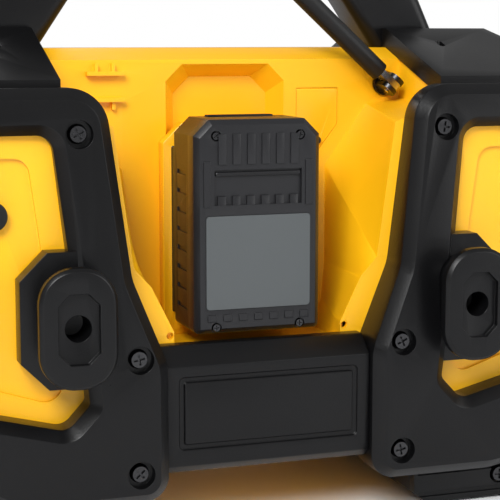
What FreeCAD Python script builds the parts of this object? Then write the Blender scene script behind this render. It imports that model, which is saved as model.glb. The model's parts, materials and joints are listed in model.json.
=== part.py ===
import FreeCAD, Part
import math
import os
import re

import Sketcher
from FreeCAD import Placement, Rotation, Vector

# Jobsite radio in a roll cage, with a battery bay at the rear and a folding antenna.
# Millimetres. X runs across, -Y is the front with the speakers, +Y the rear with the
# battery, Z is up and 0 is the ground. "right" is the +X side, as seen from the front.

SIZES = {
    # clearance between pieces, and the wall of the moulded shells
    "gap": 0.3,
    "wall": 3,
    # yellow housing
    "body_half": 210,
    "body_low": 33,
    "body_top": 271,
    "top_cut": 34,
    "low_cut_x": 35,
    "low_cut_z": 29,
    "rear_depth": 98,
    "front_depth": 118,
    "slope_run": 80,
    "slope_drop": 28,
    "plateau_rise": 10,
    "post_radius": 6,
    "post_x": 31.3,
    # guard loops of the roll cage
    "bar_half": 60.5,
    "guard_low": 25,
    "guard_top": 251,
    "guard_half": 222,
    "guard_corner": 14,
    "guard_skirt": 12,
    "guard_rise": 30,
    "guard_lean": 12,
    "guard_bevel": 6,
    "bend_low": 101,
    "bend_shift": 18.5,
    "bend_rise": 47,
    "bend_radius": 30,
    "top_shift": 31,
    "top_radius": 22,
    "outer_radius": 30,
    "sweep_x": 150,
    "sweep_z": 95,
    "sweep_radius": 45,
    "window_top": 226.3,
    "window_in": 120.7,
    "window_shift": 16.7,
    "window_low": 68.5,
    "window_knee_x": 12.5,
    "window_knee_z": 13.5,
    "window_out": 194,
    "window_rise": 19.5,
    "window_radius": 9,
    "contour_inset": 12,
    "contour_sink": 2.5,
    # cage screws
    "screw_head": 5.5,
    "screw_head_tall": 3.2,
    "screw_shank": 2.4,
    "screw_long": 26,
    "screw_bore": 7.6,
    "screw_sink": 6,
    "upper_screw_x": 106.7,
    "upper_screw_z": 226.8,
    "knee_screw_z": 105.5,
    "low_screw_x": 77.4,
    "low_screw_z": 42,
    # crossbars between the loops
    "bar_low": 37,
    "bar_top": 108,
    "bar_bevel_z": 10,
    "bar_rise": 20,
    "bar_bevel_y": 12,
    "plate_half": 53,
    "plate_low": 51,
    "plate_tall": 41,
    "plate_groove": 3,
    "plate_sink": 1.5,
    # cord wraps
    "wrap_x": 114.6,
    "wrap_z": 128.3,
    "wrap_wide": 41.5,
    "wrap_tall": 64,
    "wrap_radius": 19,
    "neck_wide": 28,
    "neck_tall": 50,
    "neck_radius": 13,
    "wrap_seat": 121,
    "wrap_out": 148,
    "wrap_thick": 7,
    "wrap_pocket_wide": 22,
    "wrap_pocket_tall": 37,
    "wrap_pocket_cut": 6,
    "wrap_pocket_deep": 3.5,
    "wrap_hole": 7,
    "lug_wide": 52,
    "lug_tall": 74,
    "lug_cut": 15,
    # battery bay
    "bay_floor": 102,
    "bay_half": 50,
    "bay_panel": 37,
    "bay_gusset_x": 13,
    "bay_gusset_z": 26,
    "bay_lip": 6,
    "bay_deep_half": 64,
    "bay_shoulder_z": 200,
    "bay_shoulder_x": 27,
    "bay_shoulder_rise": 40,
    "recess_half": 37.3,
    "recess_top": 262,
    "recess_low": 110,
    "recess_deep": 12,
    "recess_slope": 8,
    "gusset_hole": 2,
    "gusset_hole_x": 52.5,
    "gusset_hole_z": 111.8,
    # battery dock with its rails and blades
    "dock_half": 41.5,
    "dock_top": 228,
    "dock_face": 46,
    "dock_cut": 12,
    "rail_in": 27,
    "rail_web": 4,
    "rail_lip": 5,
    "rail_lip_thick": 4.5,
    "rail_reach": 10,
    "rail_low": 116,
    "rail_top": 214,
    "blade_count": 5,
    "blade_pitch": 9,
    "blade_thick": 1,
    "blade_wide": 3.5,
    "blade_tall": 14,
    # battery pack
    "pack_half": 37.5,
    "pack_low": 111,
    "pack_top": 232,
    "pack_back": 56.5,
    "pack_seam": 84,
    "pack_face": 97.5,
    "pack_cut": 9,
    "pack_wall": 2,
    "pack_bevel": 3,
    "cell_radius": 9,
    "cell_long": 64,
    "cell_pitch": 18.6,
    "cell_rows": 5,
    "label_half": 31,
    "label_low": 125,
    "label_tall": 53,
    "label_thick": 1,
    "label_round": 2,
    "scoop_half": 26,
    "scoop_low": 184,
    "scoop_tall": 20,
    "scoop_deep": 2,
    "finger_count": 6,
    "finger_wide": 4.6,
    "finger_pitch": 8.6,
    "finger_low": 207,
    "finger_tall": 17,
    "finger_proud": 0.8,
    "pack_screw_x": 25,
    "pack_screw_edge": 6,
    "pack_screw_head": 2.6,
    "pack_screw_shank": 1.2,
    "pack_screw_long": 16,
    "button_half": 20,
    "button_tall": 8,
    "button_thick": 7,
    "button_travel": 3,
    "button_setback": 2,
    # antenna on its swivel and fold joints
    "antenna_x": 103,
    "antenna_y": 49,
    "antenna_z": 249,
    "antenna_radius": 5.8,
    "antenna_long": 190,
    "antenna_start": 11,
    "antenna_angle": 42,
    "antenna_room": 10,
    "antenna_scoop_deep": 1.5,
    "turret_radius": 7,
    "turret_thick": 3,
    "stem_radius": 3,
    "pin_radius": 1.5,
    "fork_half": 5,
    "tang_half": 2,
    "fork_round": 5.2,
    # ribs that guide the stowed antenna
    "clip_x": 74,
    "clip_wide": 22,
    "clip_half_gap": 6.4,
    "clip_thick": 2.4,
    "clip_proud": 5.3,
    "clip_gusset": 2,
    # backup battery door
    "door_in": 45,
    "door_out": 72,
    "door_low": 208,
    "door_top": 247,
    "door_cut_x": 13,
    "door_cut_z": 17,
    "door_thick": 2,
    "door_pin": 0.5,
    "door_pin_long": 1,
    "door_screw_x": 59,
    "door_screw_z": 215,
    "coin_radius": 10,
    "coin_thick": 3.2,
    "coin_deep": 5,
    # shoulder caps and handle
    "shoulder_in": 112,
    "shoulder_thick": 12,
    "slot_x": 137,
    "slot_y": 45,
    "slot_long": 9,
    "slot_wide": 4,
    "handle_top": 351,
    "handle_bar": 27,
    "handle_rear": 12,
    "handle_front": 22,
    "handle_round": 7,
    "handle_bend": 14,
    "leg_in": 107,
    "leg_out": 152,
    "grip_half": 56,
    "grip_thick": 2.5,
    # side rails and base
    "rail_side_thick": 12,
    "rail_side_low": 92,
    "rail_side_top": 232,
    "rail_side_bar": 26,
    "rail_side_round": 18,
    "skid_in": 94,
    "skid_out": 207,
    "skid_low": 1.5,
    "skid_reach": 7,
    "skid_groove": 3,
    "foot_pad_wide": 40,
    "foot_pad_long": 60,
    "foot_pad_thick": 5.5,
    "foot_pad_x": 128,
    "foot_pad_y": 55,
    "foot_screw_x": 152,
    "foot_screw_z": 15,
    # speakers
    "speaker_x": 148,
    "speaker_z": 150,
    "speaker_window": 54.5,
    "speaker_hole": 46,
    "speaker_flange": 53,
    "flange_thick": 3,
    "basket_deep": 46,
    "basket_neck": 26,
    "cone_radius": 42,
    "cone_neck": 14,
    "cone_deep": 20,
    "cone_thick": 1.5,
    "magnet_radius": 32,
    "magnet_long": 18,
    "grille_thick": 3,
    "slot_count": 9,
    "slot_pitch": 10,
    "slot_tall": 4.5,
    "slot_reach": 48,
    # control panel
    "panel_half": 57,
    "panel_low": 113,
    "panel_top": 240,
    "panel_sink": 10,
    "panel_thick": 5,
    "lens_half": 42,
    "lens_low": 201,
    "lens_tall": 34,
    "lens_thick": 2,
    "lens_lip": 3,
    "knob_x": 30,
    "knob_z": 153,
    "knob_radius": 15,
    "knob_long": 18,
    "knob_flutes": 18,
    "flute_radius": 1.6,
    "shaft_radius": 3,
    "encoder_half": 7,
    "key_half": 7.5,
    "key_tall": 7,
    "key_pitch_x": 22,
    "key_pitch_z": 11,
    "key_z": 178,
    "key_proud": 2,
    "key_flange": 1.2,
    "cover_half": 34,
    "cover_low": 116,
    "cover_tall": 18,
    "cover_thick": 2.5,
    "hinge_radius": 1.6,
    "pin_thin": 0.8,
    "socket_deep": 11,
    # boards and power supply
    "board_thick": 1.6,
    "board_face": 104.8,
    "board_half": 46,
    "charger_y": 12,
    "core_half": 32,
    "core_tall": 44,
    "core_deep": 26,
    "coil_bulge": 8,
    "core_y": 34,
    # cord inlet
    "gland_x": 152,
    "gland_z": 184,
    "gland_radius": 8,
    "gland_bore": 3,
    "gland_out": 5,
}

doc = FreeCAD.newDocument("jobsite_radio")
sheet = doc.addObject("Spreadsheet::Sheet", "sizes")
for row, (size_name, size) in enumerate(SIZES.items(), start=1):
    sheet.set(f"A{row}", size_name)
    sheet.set(f"B{row}", str(size))
    sheet.setAlias(f"B{row}", size_name)
doc.recompute()

NODES = []
SIDES = ((1, "right"), (-1, "left"))
REAR = 1
FRONT = -1
DOOR_AXIS = "(door_top - gap - door_thick / 2)"


def bound(text):
    """The expression with the sheet's name before each of its sizes."""
    return re.sub(r"[a-z]\w*", lambda word: "sizes." + word[0] if word[0] in SIZES else word[0], text)


def value(text):
    """An expression of the sheet's sizes as a number."""
    return float(sheet.evalExpression(bound(text)))


def bind(thing, name, text):
    """Set a property or constraint from the sheet's sizes."""
    thing.setExpression(name, bound(text))


def node(name):
    """A new body that becomes one file of the part."""
    body = doc.addObject("PartDesign::Body", name)
    body.Label = name
    NODES.append(body)
    return body


def across(side, corners):
    """Corners of the +X side carried over to the given side."""
    return [(f"{side} * ({corner[0]})",) + tuple(corner[1:]) for corner in corners]


def flip(facing, corners):
    """Corners in the YZ plane, given for the rear, carried over to the given facing."""
    return [(f"{facing} * ({corner[0]})",) + tuple(corner[1:]) for corner in corners]


def rectangle(left, right, low, high, radius=None):
    """Four corners of an upright rectangle."""
    return [(left, low, radius), (right, low, radius), (right, high, radius), (left, high, radius)]


def centred(middle, level, wide, tall, radius=None):
    """Four corners of a rectangle round its middle."""
    return rectangle(f"{middle} - {wide} / 2", f"{middle} + {wide} / 2",
                     f"{level} - {tall} / 2", f"{level} + {tall} / 2", radius)


def draw_outline(sketch, corners):
    """A closed outline of straight sides: (across, up[, radius]) for each corner."""
    first = sketch.GeometryCount
    count = len(corners)
    spots = [Vector(value(corner[0]), value(corner[1]), 0) for corner in corners]
    sides = [Part.LineSegment(spots[i], spots[(i + 1) % count]) for i in range(count)]
    sketch.addGeometry(sides, False)
    sketch.addConstraint([Sketcher.Constraint("Coincident", first + i, 2, first + (i + 1) % count, 1)
                          for i in range(count)])
    for i, corner in enumerate(corners):
        for axis, text in (("DistanceX", corner[0]), ("DistanceY", corner[1])):
            key = sketch.addConstraint(Sketcher.Constraint(axis, -1, 1, first + i, 1, value(text)))
            sketch.renameConstraint(key, f"{axis}_{first + i}")
            bind(sketch, f"Constraints.{axis}_{first + i}", text)
    for i, corner in enumerate(corners):
        if len(corner) < 3 or corner[2] is None:
            continue
        arc = sketch.GeometryCount
        sketch.fillet(first + i, 1, value(corner[2]), True, True)
        key = sketch.addConstraint(Sketcher.Constraint("Radius", arc, value(corner[2])))
        sketch.renameConstraint(key, f"Round_{arc}")
        bind(sketch, f"Constraints.Round_{arc}", corner[2])


def draw_circle(sketch, middle, level, radius):
    """A circle set from the sheet's sizes."""
    spot = Vector(value(middle), value(level), 0)
    key = sketch.addGeometry(Part.Circle(spot, Vector(0, 0, 1), value(radius)), False)
    for axis, text in (("DistanceX", middle), ("DistanceY", level)):
        rule = sketch.addConstraint(Sketcher.Constraint(axis, -1, 1, key, 3, value(text)))
        sketch.renameConstraint(rule, f"{axis}_{key}")
        bind(sketch, f"Constraints.{axis}_{key}", text)
    rule = sketch.addConstraint(Sketcher.Constraint("Radius", key, value(radius)))
    sketch.renameConstraint(rule, f"Radius_{key}")
    bind(sketch, f"Constraints.Radius_{key}", radius)


def sketch_on(body, plane, level, shapes):
    """A sketch on one of the body's own planes, moved along the plane's axis to level."""
    sketch = body.newObject("Sketcher::SketchObject", "Sketch")
    support = next(item for item in body.Origin.OriginFeatures if item.Role == plane)
    sketch.AttachmentSupport = [(support, "")]
    sketch.MapMode = "FlatFace"
    bind(sketch, "AttachmentOffset.Base.z", f"-({level})" if plane == "XZ_Plane" else level)
    for shape in shapes:
        if shape[0] == "circle":
            draw_circle(sketch, *shape[1:])
        else:
            draw_outline(sketch, shape)
    return sketch


def solid_between(body, kind, plane, start, end, *shapes):
    """A Pad or Pocket between two levels along the plane's axis."""
    sketch = sketch_on(body, plane, start, shapes)
    feature = body.newObject(f"PartDesign::{kind}", kind)
    feature.Profile = sketch
    feature.Reversed = (plane == "XZ_Plane") == (kind == "Pad")
    bind(feature, "Length", f"({end}) - ({start})")
    body.Tip = feature
    return feature


def along_y(body, kind, facing, near, far, *shapes):
    """A Pad or Pocket in depth, between two distances from the middle of the radio."""
    start, end = (near, far) if facing == REAR else (f"-({far})", f"-({near})")
    return solid_between(body, kind, "XZ_Plane", start, end, *shapes)


def along_x(body, kind, start, end, *shapes):
    """A Pad or Pocket across the radio; the outline's first number is Y."""
    return solid_between(body, kind, "YZ_Plane", start, end, *shapes)


def along_z(body, kind, start, end, *shapes):
    """A Pad or Pocket upwards; the outline is in X and Y."""
    return solid_between(body, kind, "XY_Plane", start, end, *shapes)


def loft_y(body, kind, facing, near, near_corners, far, far_corners):
    """A straight-sided loft in depth between two outlines with as many corners."""
    sign = "" if facing == REAR else "-"
    first = sketch_on(body, "XZ_Plane", f"{sign}({near})", [near_corners])
    second = sketch_on(body, "XZ_Plane", f"{sign}({far})", [far_corners])
    feature = body.newObject(f"PartDesign::{kind}Loft", "Loft")
    feature.Profile = first
    feature.Sections = [second]
    feature.Ruled = True
    body.Tip = feature
    return feature


def turned(body, kind, corners, middle="0", level="0"):
    """A full turn, about a line along Y, of an outline of (radius, depth) corners."""
    sketch = sketch_on(body, "XY_Plane", level, [corners])
    bind(sketch, "AttachmentOffset.Base.x", middle)
    feature = body.newObject(f"PartDesign::{kind}", kind)
    feature.Profile = sketch
    feature.ReferenceAxis = (sketch, ["V_Axis"])
    feature.Angle = 360
    body.Tip = feature
    return feature


def ease_edges(body, kind, size, chosen):
    """A fillet or chamfer on the edges that chosen picks from the body's shape."""
    doc.recompute()
    base = body.Tip
    names = [f"Edge{i}" for i, edge in enumerate(base.Shape.Edges, start=1) if chosen(edge)]
    feature = body.newObject(f"PartDesign::{kind}", kind)
    feature.Base = (base, names)
    bind(feature, "Size" if kind == "Chamfer" else "Radius", size)
    body.Tip = feature
    return feature


def flat_in_y(level):
    """Picks the edges that lie at one depth."""
    depth = value(level)
    return lambda edge: abs(edge.BoundBox.YMin - depth) < 0.01 and abs(edge.BoundBox.YMax - depth) < 0.01


def flat_in_x(level):
    """Picks the edges that lie at one distance across."""
    reach = value(level)
    return lambda edge: abs(edge.BoundBox.XMin - reach) < 0.01 and abs(edge.BoundBox.XMax - reach) < 0.01


def body_corners(inset="0", drop="0"):
    """Front view of the housing; drop is how far the sloping top has come down."""
    half = f"(body_half - {inset})"
    low = f"(body_low + {inset})"
    top = f"(body_top - {inset} - {drop})"
    turn = f"(body_top - {inset} - top_cut)"
    crest = f"({half} - top_cut + {drop})"
    return [(f"-({half} - low_cut_x)", low), (f"{half} - low_cut_x", low), (half, f"{low} + low_cut_z"),
            (half, turn), (crest, top), (f"-{crest}", top), (f"-{half}", turn),
            (f"-{half}", f"{low} + low_cut_z")]


def drop_at(depth_left):
    """How far the top has come down where depth_left remains to the end face."""
    return f"(slope_drop * (slope_run - ({depth_left})) / slope_run)"


def guard_corners(side, inset="0"):
    """Outline of one guard loop, seen square on."""
    return across(side, [
        (f"bar_half + {inset}", f"guard_low + {inset}", "guard_corner"),
        (f"bar_half + {inset}", "bend_low", "bend_radius"),
        (f"bar_half + bend_shift + {inset}", "bend_low + bend_rise", "bend_radius"),
        (f"bar_half + top_shift + {inset}", f"guard_top - {inset}", "top_radius"),
        (f"guard_half - {inset}", f"guard_top - {inset}", "outer_radius"),
        (f"guard_half - {inset}", f"sweep_z + 0.4 * ({inset})", "sweep_radius"),
        (f"sweep_x - 0.4 * ({inset})", f"guard_low + {inset}", "sweep_radius"),
    ])


def window_corners(side, inset="0"):
    """Outline of the opening in a rear guard loop."""
    return across(side, [
        (f"window_in + {inset}", f"window_top - {inset}", "window_radius"),
        (f"window_in - window_shift + {inset}", f"window_low + window_knee_z + {inset} / 2",
         "window_radius / 2"),
        (f"window_in - window_shift + window_knee_x + {inset} / 2", f"window_low + {inset}", "window_radius"),
        (f"window_out - {inset}", f"window_low + window_rise + {inset}", "window_radius"),
        (f"window_out - {inset}", f"window_top - {inset}", "window_radius * 2"),
    ])


def depth_of(facing):
    """Distance of the housing's flat end face from the middle of the radio."""
    return "rear_depth" if facing == REAR else "front_depth"


def screw_rows(facing):
    """Seat depth and middles of the cage screws: the upper one, then the two lower ones."""
    face = f"({depth_of(facing)} + guard_rise)"
    leaned = f"{face} - guard_lean * (upper_screw_z - bend_low) / (guard_top - bend_low)"
    return [(f"({leaned} - screw_sink)", [("upper_screw_x", "upper_screw_z")]),
            (f"({face} - screw_sink)", [("low_screw_x", "knee_screw_z"), ("low_screw_x", "low_screw_z")])]


def rings(sides, spots, radius):
    """A circle round each spot, on each of the sides."""
    return [("circle", f"{side} * ({x})", z, radius) for side in sides for x, z in spots]


def bay_side(depth, grow, top):
    """The battery bay's outline on the +X side, at its panel or at the rear face."""
    if depth == "panel":
        return [(f"bay_half + 4 + {grow}", f"bay_floor - {grow}"),
                (f"bay_deep_half - 2 + {grow}", "bay_floor + 14"),
                (f"bay_deep_half + {grow}", "bay_floor + 12 + bay_gusset_z"),
                (f"bay_deep_half + {grow}", "bay_shoulder_z"),
                (f"bay_deep_half + bay_shoulder_x + {grow}",
                 f"bay_shoulder_z + bay_shoulder_rise - 3 - {grow}"),
                (f"antenna_x + antenna_room + {grow}", f"bay_shoulder_z + bay_shoulder_rise - {grow}"),
                (f"antenna_x + antenna_room + {grow}", top)]
    return [(f"bay_half + {grow}", f"bay_floor - {grow}"),
            (f"bay_half + {grow}", "bay_floor + 12"),
            (f"bay_half + bay_gusset_x + {grow}", "bay_floor + 12 + bay_gusset_z"),
            (f"bar_half + bend_shift - bay_lip + {grow}", "bend_low + bend_rise + 2"),
            (f"bar_half + top_shift - bay_lip - 2 + {grow}", f"guard_top - 22 - {grow}"),
            (f"antenna_x + antenna_room + {grow}", f"guard_top - 11 - {grow}"),
            (f"antenna_x + antenna_room + {grow}", top)]


def bay_corners(depth):
    """The whole outline of the battery bay, open above the housing."""
    half = bay_side(depth, "0", "body_top + 20")
    return half + across(-1, half[::-1])


def chamber_corners(side, depth, grow, drop):
    """The hollow beside and below the battery bay, up to a web on the middle line."""
    half = "(body_half - wall)"
    top = f"(body_top - wall - {drop})"
    bay = bay_side(depth, grow, top)
    return across(side, [
        ("wall / 2", "body_low + wall"), (f"{half} - low_cut_x", "body_low + wall"),
        (half, "body_low + wall + low_cut_z"), (half, "body_top - wall - top_cut"),
        (f"{half} - top_cut + {drop}", top)] + bay[::-1] + [("wall / 2", f"bay_floor - {grow}")])


def recess_corners(inset):
    """Outline of the flat recess above the battery."""
    half = f"(recess_half - {inset})"
    top = f"(recess_top - {inset})"
    return [(f"-{half}", f"recess_low + {inset}"), (half, f"recess_low + {inset}"), (half, f"{top} - 10"),
            (f"{half} - 10", top), (f"-({half} - 10)", top), (f"-{half}", f"{top} - 10")]


def housing(facing, name):
    """One moulded half of the yellow housing, still solid, with its two plateaus."""
    depth = depth_of(facing)
    body = node(name)
    along_y(body, "Pad", facing, "0", f"{depth} - slope_run", body_corners())
    loft_y(body, "Additive", facing, f"{depth} - slope_run", body_corners(),
           depth, body_corners("0", "slope_drop"))
    along_y(body, "Pad", facing, depth, f"{depth} + plateau_rise",
            *[guard_corners(side, "(guard_skirt + gap)") for side, _ in SIDES])
    return body


def screw_bosses(body, facing):
    """Bosses inside the end wall with holes for the cage screws."""
    depth = depth_of(facing)
    spots = [spot for _, row in screw_rows(facing) for spot in row]
    along_y(body, "Pad", facing, f"{depth} - wall - 12", f"{depth} - wall",
            *rings((1, -1), spots, "screw_shank + gap + 3"))
    along_y(body, "Pocket", facing, f"{depth} - wall - 12", f"{depth} + plateau_rise",
            *rings((1, -1), spots, "screw_shank + gap"))


def rear_housing():
    """Rear half: battery bay, backup door pocket, clip ribs and antenna scoop."""
    body = housing(REAR, "rear_housing")
    back = "(bay_panel - recess_deep - wall)"
    along_y(body, "Pocket", REAR, "0", back, body_corners("(wall + 1)"))
    for side, _ in SIDES:
        loft_y(body, "Subtractive", REAR,
               back, chamber_corners(side, "panel", "(wall + 5)", drop_at(f"rear_depth - {back}")),
               "rear_depth - wall", chamber_corners(side, "face", "wall", drop_at("wall")))
    screw_bosses(body, REAR)
    loft_y(body, "Subtractive", REAR, "bay_panel", bay_corners("panel"), "rear_depth + 1", bay_corners("face"))
    loft_y(body, "Subtractive", REAR, "bay_panel - recess_deep", recess_corners("recess_slope"),
           "bay_panel + 0.5", recess_corners("0"))
    along_y(body, "Pocket", REAR, "rear_depth + plateau_rise - contour_sink", "rear_depth + plateau_rise",
            *[window_corners(side, "contour_inset") for side, _ in SIDES])
    along_y(body, "Pocket", REAR, "rear_depth - wall - 1", "rear_depth",
            *rings((1, -1), [("gusset_hole_x", "gusset_hole_z")], "gusset_hole"))
    clip_ribs(body)
    behind_panel(body, back)
    along_y(body, "Pad", REAR, "charger_y + board_thick", back,
            *rings((1, -1), [("post_x", "recess_low + 8"), ("post_x", "recess_top - 36")], "post_radius / 2"))
    along_y(body, "Pocket", REAR, "rear_depth - wall - 1", "rear_depth + plateau_rise",
            ("circle", "gland_x", "gland_z", "gland_radius - 3 + gap"))
    return body


def clip_ribs(body):
    """Two ribs on the panel that guide the stowed antenna, each with two gussets."""
    low_edge = "antenna_z - clip_half_gap - clip_thick"
    high_edge = "antenna_z + clip_half_gap"
    for edge, beyond in ((low_edge, "-4.5"), (high_edge, "clip_thick")):
        along_y(body, "Pad", REAR, "bay_panel", "bay_panel + clip_proud",
                rectangle("clip_x - clip_wide / 2", "clip_x + clip_wide / 2", edge, f"{edge} + clip_thick"))
        spots = [rectangle(f"clip_x + {shift} - clip_gusset / 2", f"clip_x + {shift} + clip_gusset / 2",
                           f"{edge} + {beyond}", f"{edge} + {beyond} + 4.5") for shift in (-5, 5)]
        along_y(body, "Pad", REAR, "bay_panel", "bay_panel + clip_proud - 2", *spots)


def door_corners(inset, top):
    """Outline of the backup battery door with its one cut corner."""
    return [(f"-(door_in + {inset})", f"door_low + {inset}"), (f"-(door_in + {inset})", top),
            (f"-(door_out - {inset})", top),
            (f"-(door_out - {inset})", "door_low + door_cut_z"),
            (f"-(door_out - door_cut_x - {inset})", f"door_low + {inset}")]


def behind_panel(body, back):
    """Seats in the bay's panel for the backup door and the antenna, with room behind them."""
    cell_x = "-(door_in + door_out) / 2"
    cell_z = "door_top - coin_radius - 4"
    along_y(body, "Pocket", REAR, back, "bay_panel - wall",
            ("circle", "-antenna_x", "antenna_z", "stem_radius + 4"))
    along_y(body, "Pocket", REAR, "bay_panel - door_thick", "bay_panel", door_corners("0", "door_top"))
    along_x(body, "Pocket", "-door_out - door_pin_long - gap", "-door_in + door_pin_long + gap",
            ("circle", "bay_panel - door_thick / 2", DOOR_AXIS, "door_pin + 0.1"))
    along_y(body, "Pocket", REAR, "bay_panel - wall - coin_deep", "bay_panel - door_thick",
            ("circle", cell_x, cell_z, "coin_radius + gap"))
    along_y(body, "Pocket", REAR, "bay_panel - wall - 5", "bay_panel - door_thick",
            ("circle", "-door_screw_x", "door_screw_z", "2"))
    along_y(body, "Pocket", REAR, "bay_panel - antenna_scoop_deep", "bay_panel",
            ("circle", "-antenna_x", "antenna_z", "turret_radius + 1"))
    along_y(body, "Pocket", REAR, "bay_panel - wall - 1", "bay_panel",
            ("circle", "-antenna_x", "antenna_z", "stem_radius + gap"))


def front_housing():
    """Front half: speaker openings and the seat of the control panel."""
    body = housing(FRONT, "front_housing")
    along_y(body, "Pocket", FRONT, "0", "front_depth - slope_run", body_corners("wall"))
    loft_y(body, "Subtractive", FRONT, "front_depth - slope_run", body_corners("wall"),
           "front_depth - wall", body_corners("wall", drop_at("wall")))
    screw_bosses(body, FRONT)
    seat = "front_depth - panel_sink"
    along_y(body, "Pad", FRONT, f"{seat} - wall", "front_depth - wall",
            rectangle("-panel_half - wall", "panel_half + wall", "panel_low - wall", "panel_top"))
    along_y(body, "Pocket", FRONT, seat, "front_depth",
            rectangle("-panel_half - gap", "panel_half + gap", "panel_low - gap", "panel_top + gap"))
    along_y(body, "Pocket", FRONT, f"{seat} - wall - 1", f"{seat} + 1",
            rectangle("-panel_half + 6", "panel_half - 6", "panel_low + 4.5", "panel_top - 4.5"))
    along_y(body, "Pocket", FRONT, "front_depth - wall - 13", "front_depth + plateau_rise",
            *rings((1, -1), [("speaker_x", "speaker_z")], "speaker_hole"))
    return body


def guard(side, facing, name):
    """A moulded loop of the roll cage with a leaning face, bevels and screw wells."""
    depth = depth_of(facing)
    face = f"{depth} + guard_rise"
    body = node(name)
    along_y(body, "Pad", facing, depth, face, guard_corners(side))
    beyond = f"{face} - guard_lean - guard_lean * 2 / (guard_top - bend_low)"
    wedge = flip(facing, [(face, "bend_low"), (beyond, "guard_top + 2"), (f"{face} + 2", "guard_top + 2"),
                          (f"{face} + 2", "bend_low")])
    ends = ("0", "guard_half + 5") if side == 1 else ("-(guard_half + 5)", "0")
    along_x(body, "Pocket", *ends, wedge)
    if facing == REAR:
        along_y(body, "Pocket", facing, depth, face, window_corners(side))
    else:
        along_y(body, "Pocket", facing, depth, face,
                ("circle", f"{side} * speaker_x", "speaker_z", "speaker_window"))
    fold = value("bend_low")
    rim = value(f"{face} - guard_lean") - 1

    def outer_rim(edge):
        box = edge.BoundBox
        nearest = min(facing * box.YMin, facing * box.YMax)
        on_fold = box.ZMax - box.ZMin < 0.01 and abs(box.ZMax - fold) < 0.01
        return nearest > rim and not on_fold

    ease_edges(body, "Chamfer", "guard_bevel", outer_rim)
    if facing == REAR:
        wrap_lug(body, side)
    along_y(body, "Pocket", facing, depth, f"{depth} + plateau_rise", guard_corners(side, "guard_skirt"))
    for seat, spots in screw_rows(facing):
        along_y(body, "Pocket", facing, seat, f"{face} + 1", *rings((side,), spots, "screw_bore"))
        along_y(body, "Pocket", facing, depth, seat, *rings((side,), spots, "screw_shank + gap"))
    return body


def wrap_lug(body, side):
    """The flat lug in the loop's window that carries the cord wrap, and its seat."""
    left = "wrap_x - lug_wide / 2"
    right = "wrap_x + lug_wide / 2"
    low = "wrap_z - lug_tall / 2"
    high = "wrap_z + lug_tall / 2"
    along_y(body, "Pad", REAR, "rear_depth + plateau_rise", "wrap_seat", across(side, [
        (left, low), (f"{right} - lug_cut", low), (right, f"{low} + lug_cut"), (right, f"{high} - lug_cut"),
        (f"{right} - lug_cut", high), (left, high)]))
    along_y(body, "Pocket", REAR, "wrap_seat", "rear_depth + guard_rise + 1",
            across(side, centred("wrap_x", "wrap_z", "(neck_wide + 2 * gap)", "(neck_tall + 2 * gap)", "neck_radius")))


def cord_wrap(side, name):
    """A cleat for the cord: a neck, a wide plate with a pocket and a round hole."""
    body = node(name)
    plate_low = "wrap_out - wrap_thick"
    along_y(body, "Pad", REAR, "wrap_seat", plate_low,
            across(side, centred("wrap_x", "wrap_z", "neck_wide", "neck_tall", "neck_radius")))
    along_y(body, "Pad", REAR, plate_low, "wrap_out",
            across(side, centred("wrap_x", "wrap_z", "wrap_wide", "wrap_tall", "wrap_radius")))
    ease_edges(body, "Chamfer", "2", flat_in_y("wrap_out"))
    left = "wrap_x - wrap_pocket_wide / 2"
    right = "wrap_x + wrap_pocket_wide / 2"
    low = "wrap_z - wrap_pocket_tall / 2"
    high = "wrap_z + wrap_pocket_tall / 2"
    along_y(body, "Pocket", REAR, "wrap_out - wrap_pocket_deep", "wrap_out", across(side, [
        (f"{left} + wrap_pocket_cut", low), (f"{right} - wrap_pocket_cut", low), (right, f"{low} + wrap_pocket_cut"),
        (right, f"{high} - wrap_pocket_cut"), (f"{right} - wrap_pocket_cut", high),
        (f"{left} + wrap_pocket_cut", high), (left, f"{high} - wrap_pocket_cut"), (left, f"{low} + wrap_pocket_cut")]))
    along_y(body, "Pocket", REAR, "wrap_seat + 3", "wrap_out",
            ("circle", f"{side} * wrap_x", "wrap_z", "wrap_hole"))
    return body


def crossbar(facing, name):
    """The bar between two loops, with a grooved frame on its face."""
    depth = depth_of(facing)
    face = f"{depth} + bar_rise"
    body = node(name)
    along_x(body, "Pad", "-bar_half", "bar_half", flip(facing, [
        (depth, "bar_low"), (f"{face} - bar_bevel_y / 2", "bar_low"), (face, "bar_low + bar_bevel_z / 2"),
        (face, "bar_top - bar_bevel_z"), (f"{face} - bar_bevel_y", "bar_top"), (depth, "bar_top")]))
    along_y(body, "Pocket", facing, f"{face} - plate_sink", face,
            rectangle("-plate_half", "plate_half", "plate_low", "plate_low + plate_tall", "3"),
            rectangle("-plate_half + plate_groove", "plate_half - plate_groove", "plate_low + plate_groove",
                      "plate_low + plate_tall - plate_groove", "1.5"))
    return body


def cage_screws():
    """The pan head screws of the four loops."""
    body = node("cage_screws")
    for facing in (REAR, FRONT):
        for seat, spots in screw_rows(facing):
            along_y(body, "Pad", facing, f"{seat} - screw_long", seat, *rings((1, -1), spots, "screw_shank"))
            along_y(body, "Pad", facing, seat, f"{seat} + screw_head_tall", *rings((1, -1), spots, "screw_head"))
    return body


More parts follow.
